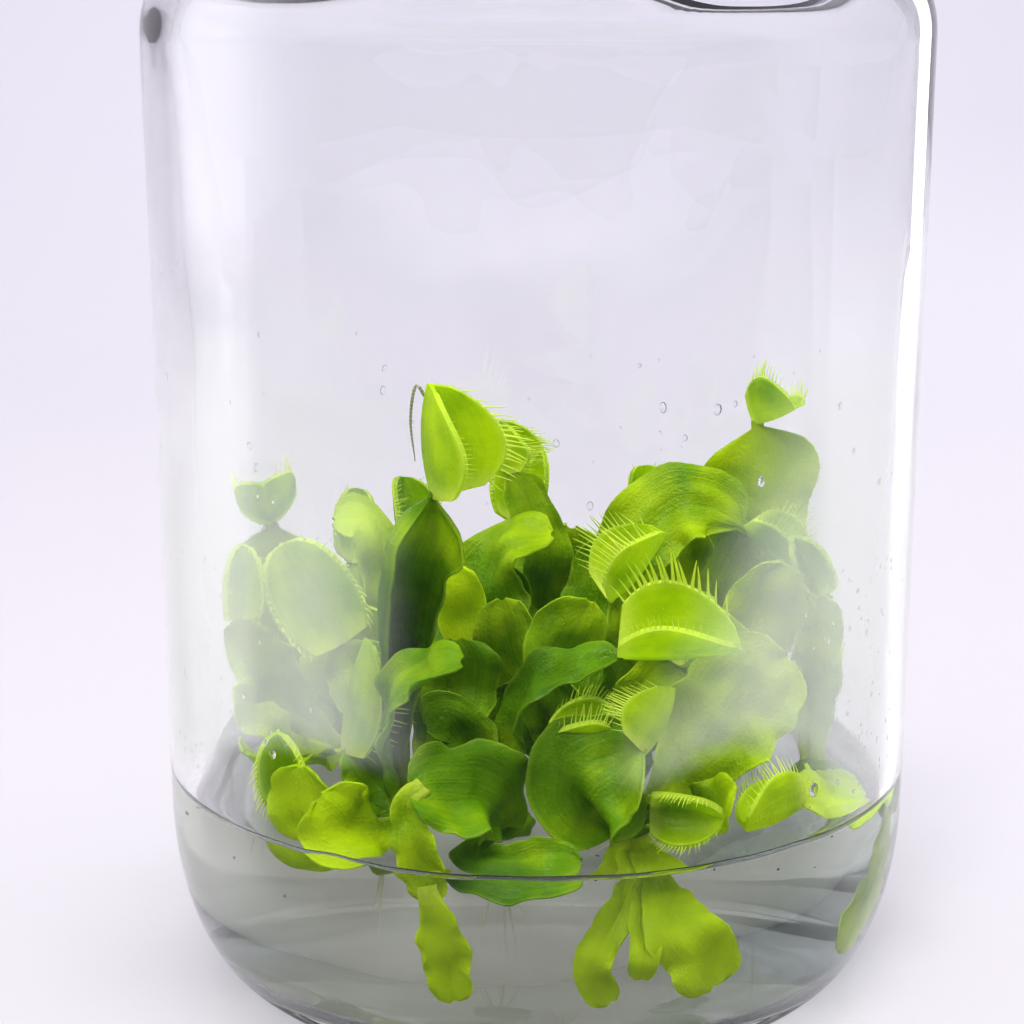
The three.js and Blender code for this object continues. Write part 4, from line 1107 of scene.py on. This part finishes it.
def make_trap(leaf):
    def thickness(v, s):
        rib = (MIDRIB_THICKNESS - TRAP_THICKNESS) * np.exp(-(s / MIDRIB_WIDTH) ** 2)
        rim = RIM_THICKER * smoothstep(np.abs(s), 0.86, 0.97)
        return TRAP_THICKNESS + rib + rim

    return sheet_of("trap", TRAP_COLUMNS, TRAP_ROWS, lambda v, s: trap_points(leaf, v, s),
                    thickness, MIDRIB_THICKNESS, lambda v: leaf["tones"][1])


# %% [markdown]
# ## Teeth and trigger hairs
# The teeth are slender, bent spikes. One is modelled from a small circle that is extruded, drawn
# in and leaned over, ring by ring. It is then copied round the rim of every trap, turned so that
# it points out of the lobe and leans a little over the mouth. The trigger hairs are the same
# spike, much smaller, standing on the inner face.

# %% One tooth
TOOTH_RINGS = 5
TOOTH_SIDES = 6
TOOTH_ROOT = 0.044  # radius at its foot, as a share of its length
TOOTH_BENDS = 0.16  # how far its tip leans over, as a share of its length
TOOTH_TAPER = 0.78  # how much narrower each ring is than the one below
TIP_TAPER = 0.35


def model_tooth():
    """A spike of length 1 along +Z that bends towards +X, its foot at the origin."""
    bpy.ops.mesh.primitive_circle_add(vertices=TOOTH_SIDES, radius=TOOTH_ROOT, fill_type="NGON")
    tooth = bpy.context.object
    bpy.ops.object.mode_set(mode="EDIT")
    bpy.ops.mesh.select_all(action="SELECT")
    for ring in range(1, TOOTH_RINGS + 1):
        height = ring / TOOTH_RINGS
        lean = TOOTH_BENDS * (height ** 2 - ((ring - 1) / TOOTH_RINGS) ** 2)
        step = {"value": (lean, 0, 1 / TOOTH_RINGS)}
        bpy.ops.mesh.extrude_region_move(TRANSFORM_OT_translate=step)
        taper = TOOTH_TAPER if ring < TOOTH_RINGS else TIP_TAPER
        bpy.ops.transform.resize(value=(taper, taper, 1))
    bpy.ops.mesh.select_all(action="SELECT")
    bpy.ops.mesh.normals_make_consistent(inside=False)
    bpy.ops.object.mode_set(mode="OBJECT")
    return take_shape(tooth)


def take_shape(piece):
    """The points and faces of a modelled piece, which is then cleared away."""
    shape = coordinates(piece.data)
    faces = [tuple(face.vertices) for face in piece.data.polygons]
    bpy.data.objects.remove(piece)
    return shape, faces


TOOTH_POINTS, TOOTH_FACES = model_tooth()
print("tooth:", len(TOOTH_FACES), "faces")

# %% Teeth round a trap
TEETH_PER_LOBE = 17
TOOTH_SHARE = 0.5  # length of a tooth, as a share of the lobe's depth
TOOTH_LEAN = 0.25
TOOTH_SPLAY = 1.1
TOOTH_STRAYS = 0.06
TOOTH_SINK = 0.12
TRIGGERS = [(0.3, 0.45), (0.5, 0.4), (0.42, 0.62)]  # places on a lobe: along it, across it
TRIGGER_LENGTH = 0.9
TRIGGER_STOUT = 0.8


def tooth_places(leaf, rng):
    """(foot, way, lean, length, stoutness) of each tooth and trigger hair of one trap."""
    trap = leaf["trap"]
    side = trap_frame(leaf)[3]
    places = []
    for v in (np.arange(TEETH_PER_LOBE) + 0.5) / TEETH_PER_LOBE:
        for s in (-1.0, 1.0):
            here = float(np.clip(v + rng.uniform(-0.008, 0.008), 0.01, 0.99))
            rim, inner, fore, aft = trap_points(
                leaf, np.array([here, here, here + 0.01, here - 0.01]), np.array([s, 0.88 * s, s, s]))
            along = unit(fore - aft)
            way = unit(rim - inner) - TOOTH_LEAN * s * side + along * (here - 0.5) * TOOTH_SPLAY
            way = unit(way + TOOTH_STRAYS * rng.normal(size=3))
            size = trap["depth"] * TOOTH_SHARE * (0.55 + 1.8 * here * (1 - here))
            size *= trap["teeth"][int(s > 0)]
            size *= rng.uniform(0.85, 1.1)
            places.append((rim - TOOTH_SINK * way, way, -s * side, size, 1.0))
    for v, s in TRIGGERS:
        for sign in (-1, 1):
            across = np.array([s, s + 0.02, s]) * sign
            foot, near, fore = trap_points(leaf, np.array([v, v, v + 0.01]), across)
            out = unit(np.cross(near - foot, fore - foot))
            mouthward = unit(-sign * side + 0.4 * unit(near - foot))
            out = out * np.sign(out @ mouthward)
            places.append((foot, out, mouthward, TRIGGER_LENGTH, TRIGGER_STOUT))
    return places


def make_teeth(leaf, rng):
    places = tooth_places(leaf, rng)
    points, faces = [], []
    for foot, way, lean, size, stout in places:
        x_axis = square_to(lean, way)
        y_axis = np.cross(way, x_axis)
        local = TOOTH_POINTS * np.array([stout, stout, 1]) * size
        start = len(points) * len(TOOTH_POINTS)
        points.append(foot + local[:, :1] * x_axis + local[:, 1:2] * y_axis + local[:, 2:] * way)
        faces += [tuple(start + corner for corner in face) for face in TOOTH_FACES]
    piece = new_piece("teeth", np.vstack(points), faces)
    uv = piece.data.uv_layers.new(name="UVMap")
    heights = np.tile(TOOTH_POINTS[:, 2], len(places))
    for loop in piece.data.loops:
        uv.data[loop.index].uv = (0.5, heights[loop.vertex_index])
    mark_tone(piece, leaf["tones"][1])
    return piece


# %% [markdown]
# ## Living green
# A young leaf is smooth, a little wet and full of light: what falls on one side glows through to
# the other, which is why the traps look almost lit from inside. Its green wanders from yellow to
# deep, with fine veins along the blade and a paler edge and base. Blades and traps share that
# pattern, so it is a group. The shine and the light that passes through stay in each material.

# %% Leaf pattern
MOTTLE_SCALE = 230.0  # this one and the next three are in swings per metre
PATCH_SCALE = 75.0
CELL_SCALE = 3300.0
GRAIN_SCALE = 1100.0
VEIN_SCALE = 3.2  # swings across a leaf, times the vein scale that its material asks for
WANDERS = 0.9  # how far the green wanders through its range
VEIN_DARKER = 0.05
BASE_PALER = 0.7


def leaf_pattern_group():
    greens = [("Deep", (0.02, 0.08, 0.0, 1)), ("Middle", (0.1, 0.22, 0.0, 1)),
              ("Light", (0.4, 0.55, 0.02, 1)), ("Pale", (0.6, 0.68, 0.2, 1))]
    amounts = [("Tone", 0.5), ("Vein Scale", 9.0), ("Edge", 0.5)]
    group, given, made = shader_group(
        "leaf_pattern",
        [(label, "Color", value) for label, value in greens]
        + [(label, "Float", value) for label, value in amounts],
        [("Colour", "Color"), ("Height", "Float"), ("Wet", "Float")],
    )
    coords = node(group, "TexCoord").outputs
    across = node(group, "SeparateXYZ", {"Vector": coords["UV"]}).outputs
    cloud = noise_field(group, coords["Object"], MOTTLE_SCALE, 4.0)
    mottle = swing(group, cloud, WANDERS)
    patch = swing(group, noise_field(group, coords["Object"], PATCH_SCALE, 1.0), WANDERS)
    tone = maths(group, "ADD", given["Tone"], maths(group, "ADD", mottle, patch))
    fibres = node(group, "Mapping", {"Vector": coords["UV"], "Scale": (1.0, 0.06, 1.0)}).outputs[0]
    scaled = node(group, "VectorMath", {0: fibres, 3: given["Vein Scale"]}, operation="SCALE").outputs[0]
    vein = remap(group, noise_field(group, scaled, VEIN_SCALE, 3.0), 0.46, 0.56, 1.0, 0.0)
    dark = maths(group, "SUBTRACT", tone, product(group, vein, VEIN_DARKER))
    lower = node(group, "MapRange", {"Value": dark, "From Min": 0.0, "From Max": 0.5}).outputs["Result"]
    upper = node(group, "MapRange", {"Value": dark, "From Min": 0.5, "From Max": 1.0}).outputs["Result"]
    ground = blend_colour(group, lower, given["Deep"], given["Middle"])
    ground = blend_colour(group, upper, ground, given["Light"])
    off = maths(group, "ABSOLUTE", maths(group, "SUBTRACT", across["X"], 0.5))
    margin = product(group, remap(group, off, 0.44, 0.5), given["Edge"])
    base = product(group, remap(group, across["Y"], 0.0, 0.22, 1.0, 0.0), BASE_PALER)
    pale = maths(group, "MAXIMUM", margin, base)
    group.links.new(blend_colour(group, pale, ground, given["Pale"]), made["Colour"])
    cells = node(group, "TexVoronoi", {"Vector": coords["Object"], "Scale": CELL_SCALE}).outputs["Distance"]
    rough = maths(group, "ADD", product(group, vein, -0.12), product(group, cells, 0.25))
    grain = product(group, noise_field(group, coords["Object"], GRAIN_SCALE, 2.0), 0.45)
    relief = maths(group, "ADD", rough, grain)
    group.links.new(maths(group, "ADD", relief, mottle), made["Height"])
    group.links.new(remap(group, cloud, 0.35, 0.7, 0.26, 0.5), made["Wet"])
    return group


LEAF_PATTERN = leaf_pattern_group()

# %% Leaf materials
LEAF_BENDS = 1.38
LEAF_SHINE = 0.22


def leaf_material(name, deep, middle, light, pale, vein_scale, edge, glow, bump_height):
    material, tree = new_material(name)
    pattern = node(tree, "Group", {
        "Deep": deep, "Middle": middle, "Light": light, "Pale": pale,
        "Tone": node(tree, "Attribute", attribute_name="tone").outputs["Fac"],
        "Vein Scale": vein_scale, "Edge": edge}, node_tree=LEAF_PATTERN).outputs
    bump = node(tree, "Bump", {"Height": pattern["Height"], "Strength": 0.7, "Distance": bump_height})
    skin = node(tree, "BsdfPrincipled", {
        "Base Color": pattern["Colour"], "Roughness": pattern["Wet"], "IOR": LEAF_BENDS,
        "Specular IOR Level": LEAF_SHINE, "Normal": bump.outputs[0]})
    brighter = node(tree, "HueSaturation", {"Color": pattern["Colour"], "Saturation": 1.08, "Value": 1.5})
    through = node(tree, "BsdfTranslucent", {"Color": brighter.outputs[0], "Normal": bump.outputs[0]})
    put_out(tree, mix_shaders(tree, glow, skin, through))
    return material


BLADE_GREEN = leaf_material(
    "leaf_blade_green", deep=(0.013, 0.070, 0.0004, 1), middle=(0.105, 0.245, 0.001, 1),
    light=(0.38, 0.52, 0.003, 1), pale=(0.52, 0.62, 0.07, 1),
    vein_scale=9.0, edge=0.12, glow=0.4, bump_height=0.0003)
TRAP_GREEN = leaf_material(
    "trap_green", deep=(0.05, 0.16, 0.0005, 1), middle=(0.20, 0.36, 0.002, 1),
    light=(0.48, 0.62, 0.004, 1), pale=(0.62, 0.70, 0.12, 1),
    vein_scale=4.0, edge=0.35, glow=0.5, bump_height=0.0002)
TOOTH_GREEN = leaf_material(
    "tooth_pale_green", deep=(0.28, 0.40, 0.02, 1), middle=(0.44, 0.55, 0.06, 1),
    light=(0.62, 0.70, 0.13, 1), pale=(0.68, 0.74, 0.2, 1),
    vein_scale=2.0, edge=0.0, glow=0.5, bump_height=0.00002)
ROOT_WHITE = leaf_material(
    "root_white", deep=(0.30, 0.30, 0.16, 1), middle=(0.50, 0.52, 0.36, 1),
    light=(0.74, 0.76, 0.62, 1), pale=(0.80, 0.82, 0.72, 1),
    vein_scale=2.0, edge=0.0, glow=0.5, bump_height=0.00002)
LEAF_LOOKS = [BLADE_GREEN, TRAP_GREEN, TOOTH_GREEN, ROOT_WHITE]

# %% [markdown]
# ## Crowns and roots
# All leaves of a plantlet leave a short, pale, swollen crown that sits half in the gel and sends
# fine roots down. The crown is a small ball, drawn out below and lumpy where the leaf bases meet.
# A root is a ring of points carried along a route and drawn out to a tip.

# %% Crown
CROWN_RADIUS = 2.6
CROWN_HEIGHT = 1.9
CROWN_LUMPS = 0.22
CROWN_LUMP_RATE = 1.8
CROWN_SINK = 1.2
DRAWN_OUT = (1.6, 0.9)  # how tall it is below its middle and above
CROWN_TONE = 0.55


def make_crown(name):
    x, y = CROWNS[name]
    crown, points = lumpy_ball(4, CROWN_LUMPS, CROWN_LUMP_RATE, shift=(x, y, 0))
    drawn = np.where(points[:, 2] < 0, *DRAWN_OUT)
    shaped = np.stack([points[:, 0] * CROWN_RADIUS + x, points[:, 1] * CROWN_RADIUS + y,
                       GEL_TOP - CROWN_SINK + points[:, 2] * drawn * CROWN_HEIGHT], axis=1)
    set_coordinates(crown.data, shaped * MM)
    mark_tone(crown, CROWN_TONE)
    return crown


# %% Roots
THREAD_SIDES = 6
THREAD_STEPS = 26
THREAD_TAPER = 0.75
ROOTS_PER_PLANT = 4
ROOT_RADIUS = 0.14
ROOT_REACH = (1.0, 3.5)
ROOT_DEPTH = (6.0, 10.0)
ROOT_START = 2.4  # under the top of the gel
ROOT_LIMIT = 30  # no root goes further out, because the glass is there


def make_thread(name, route, radius, tone):
    """A fine round thread along a route, drawn out to a point at its end."""
    path, _ = smooth_route(route, count=THREAD_STEPS)
    sides, last = THREAD_SIDES, len(path) - 1
    turns = np.arange(sides) * 2 * math.pi / sides
    rings, faces = [], []
    for k, point in enumerate(path):
        ahead = unit(path[min(k + 1, last)] - path[max(k - 1, 0)])
        first = square_to(np.array([1.0, 0.2, 0.1]), ahead)
        second = np.cross(ahead, first)
        thin = radius * (1 - THREAD_TAPER * (k / last) ** 2)
        rings.append(point + thin * (np.outer(np.cos(turns), first) + np.outer(np.sin(turns), second)))
    for k in range(last):
        for a in range(sides):
            b = (a + 1) % sides
            faces.append((sides * k + a, sides * k + b, sides * (k + 1) + b, sides * (k + 1) + a))
    faces += [tuple(reversed(range(sides))), tuple(range(sides * last, sides * last + sides))]
    piece = new_piece(name, np.vstack(rings), faces)
    mark_tone(piece, tone)
    piece.data.uv_layers.new(name="UVMap")
    return piece


def make_roots(name, rng):
    x, y = CROWNS[name]
    roots = []
    for _ in range(ROOTS_PER_PLANT):
        turn = rng.uniform(0, 2 * math.pi)
        reach = rng.uniform(*ROOT_REACH)
        depth = rng.uniform(*ROOT_DEPTH)
        away = np.array([math.cos(turn), math.sin(turn), 0])
        start = np.array([x, y, GEL_TOP - ROOT_START])
        middle = start + 0.45 * reach * away - np.array([0, 0, 0.5 * depth])
        end = start + reach * away * rng.uniform(0.8, 1.0) - np.array([0, 0, depth])
        if math.hypot(end[0], end[1]) < ROOT_LIMIT:
            roots.append(make_thread("root", [start, middle, end], ROOT_RADIUS, 1.0))
    return roots


# %% [markdown]
# ## Plantlets
# The parts of each plantlet are made, given their own finish, and joined, because a plantlet grew
# as one. Each stands for its plain solid.

# %% Build the plantlets
STRANDS = {  # a dried thread that hangs from the highest trap
    "plantlet_front_left": [(-10.2, -16.4, 60.6), (-11.0, -16.6, 61.6), (-11.5, -16.6, 58.5),
                            (-11.2, -16.4, 54.5)],
}
STRAND_RADIUS = 0.16
STRAND_TONE = 0.2
BLADE, TRAP, TOOTH, ROOT = range(4)  # places of the finishes in LEAF_LOOKS
FIRST_SEED = 20


def wear(piece, slot):
    """Gives every face one of the four finishes of a plantlet."""
    piece.data.materials.clear()
    for material in LEAF_LOOKS:
        piece.data.materials.append(material)
    piece.data.polygons.foreach_set("material_index", [slot] * len(piece.data.polygons))
    piece.data.update()
    return piece


def join(pieces, name):
    only(pieces[0])
    for piece in pieces[1:]:
        piece.select_set(True)
    bpy.ops.object.join()
    joined = bpy.context.object
    joined.name = name
    return joined


def make_plantlet(name, leaves, seed):
    rng = np.random.default_rng(seed)
    parts = [wear(make_crown(name), BLADE)]
    parts += [wear(root, ROOT) for root in make_roots(name, rng)]
    if name in STRANDS:
        parts.append(wear(make_thread("strand", STRANDS[name], STRAND_RADIUS, STRAND_TONE), ROOT))
    for leaf in leaves:
        parts.append(wear(make_blade(leaf, rng.uniform(0, 6)), BLADE))
        if leaf["trap"]:
            parts.append(wear(make_trap(leaf), TRAP))
            parts.append(wear(make_teeth(leaf, rng), TOOTH))
    plantlet = join(parts, name + "_grown")
    bpy.ops.object.shade_smooth_by_angle(angle=math.radians(60))
    plantlet.data.name = plantlet.name
    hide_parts(name)
    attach(plantlet, "root")
    return plantlet


for order, (name, leaves) in enumerate(PLANTS.items()):
    plantlet = make_plantlet(name, leaves, seed=FIRST_SEED + order)
    print(name, len(plantlet.data.polygons), "faces")

# %% [markdown]
# ## Drops and grit
# Water that runs together on the inner wall stands there as small flattened drops, with finer
# spray at both sides. The set gel keeps dark grains of what was stirred into it. Each kind is one
# small ball, modelled once and copied with its own size to every place, so a drop has only a few
# dozen faces.

# %% Water and grit
WATER_TINT = (0.98, 0.99, 1.0, 1)
WATER_BENDS = 1.333
GRAIN_TINTS = [(0.02, 0.03, 0.04, 1), (0.10, 0.10, 0.09, 1)]


def water_material():
    material, tree = new_material("water_drop")
    put_out(tree, letting_light_through(tree, see_through(tree, WATER_TINT, WATER_BENDS)))
    return material


def grain_material():
    material, tree = new_material("dark_grain")
    cloud = noise_field(tree, node(tree, "TexCoord").outputs["Object"], 600.0, 2.0)
    tint = blend_colour(tree, cloud, *GRAIN_TINTS)
    put_out(tree, node(tree, "BsdfPrincipled", {"Base Color": tint, "Roughness": 0.6}))
    return material


def model_ball():
    """A ball of radius 1 with a few dozen faces: its points and faces."""
    bpy.ops.mesh.primitive_uv_sphere_add(segments=10, ring_count=6, radius=1.0)
    return take_shape(bpy.context.object)


BALL_POINTS, BALL_FACES = model_ball()
print("ball:", len(BALL_FACES), "faces")


def scatter(name, spots, material):
    """One piece of many balls, each given as (place, three half sizes, turn round Z)."""
    points, faces = [], []
    for place, sizes, turn in spots:
        local = BALL_POINTS * np.array(sizes)
        x = local[:, 0] * math.cos(turn) - local[:, 1] * math.sin(turn)
        y = local[:, 0] * math.sin(turn) + local[:, 1] * math.cos(turn)
        start = len(points) * len(BALL_POINTS)
        points.append(np.stack([x, y, local[:, 2]], axis=1) + np.array(place))
        faces += [tuple(start + corner for corner in face) for face in BALL_FACES]
    return finish(new_piece(name, np.vstack(points), faces), name, [material], smooth_angle=80)


# %% Where they lie
DROPS = 110
DROP_HEIGHTS = (24.5, 62)
CLEAR_OF_DROPS = 0.55  # half the part of the front where none stand, in radians
SPRAYS = [(0.98, 60), (-1.0, 40)]  # fine drops at either side: angle from the front, how many
SPRAY_HEIGHTS = (23.5, 46)
SPRAY_SPREAD = 0.13
GRAINS = 26
GRAIN_REACH = (22, 32)
GRAIN_HEIGHTS = (11, 18.5)
DROP_SEED = 7


def on_wall(turn, height, size, rng):
    radius = WALL_FOOT_RADIUS - WALL + 0.5 * (height - CORNER_HEIGHT) / 75 - 0.05
    place = (radius * math.cos(turn), radius * math.sin(turn), height)
    return place, (0.4 * size, size, size * rng.uniform(1.0, 1.5)), turn


def wall_drops(rng):
    spots = []
    while len(spots) < DROPS:
        turn = rng.uniform(-math.pi, math.pi)
        height = rng.uniform(*DROP_HEIGHTS)
        from_front = abs(turn + math.pi / 2)
        if from_front < CLEAR_OF_DROPS or rng.random() < 0.3 * (height - DROP_HEIGHTS[0]) / 30:
            continue
        spots.append(on_wall(turn, height, 0.14 + 0.42 * rng.random() ** 3, rng))
    for side, count in SPRAYS:
        for _ in range(count):
            turn = rng.normal(side, SPRAY_SPREAD) - math.pi / 2
            spots.append(on_wall(turn, rng.uniform(*SPRAY_HEIGHTS), rng.uniform(0.10, 0.24), rng))
    return spots


def gel_grains(rng):
    spots = []
    while len(spots) < GRAINS:
        turn, reach = rng.uniform(-math.pi, math.pi), rng.uniform(*GRAIN_REACH)
        place = (reach * math.cos(turn), reach * math.sin(turn), rng.uniform(*GRAIN_HEIGHTS))
        size = 0.10 + 0.16 * rng.random() ** 2
        spots.append((place, (size, size * rng.uniform(0.6, 1.2), size), turn))
    return spots


drop_rng = np.random.default_rng(DROP_SEED)
drops = scatter("wall_drops", wall_drops(drop_rng), water_material())
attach(drops, "root")
grains = scatter("gel_grains", gel_grains(drop_rng), grain_material())
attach(grains, "root")
print("drops and grains:", len(drops.data.polygons) + len(grains.data.polygons), "faces")
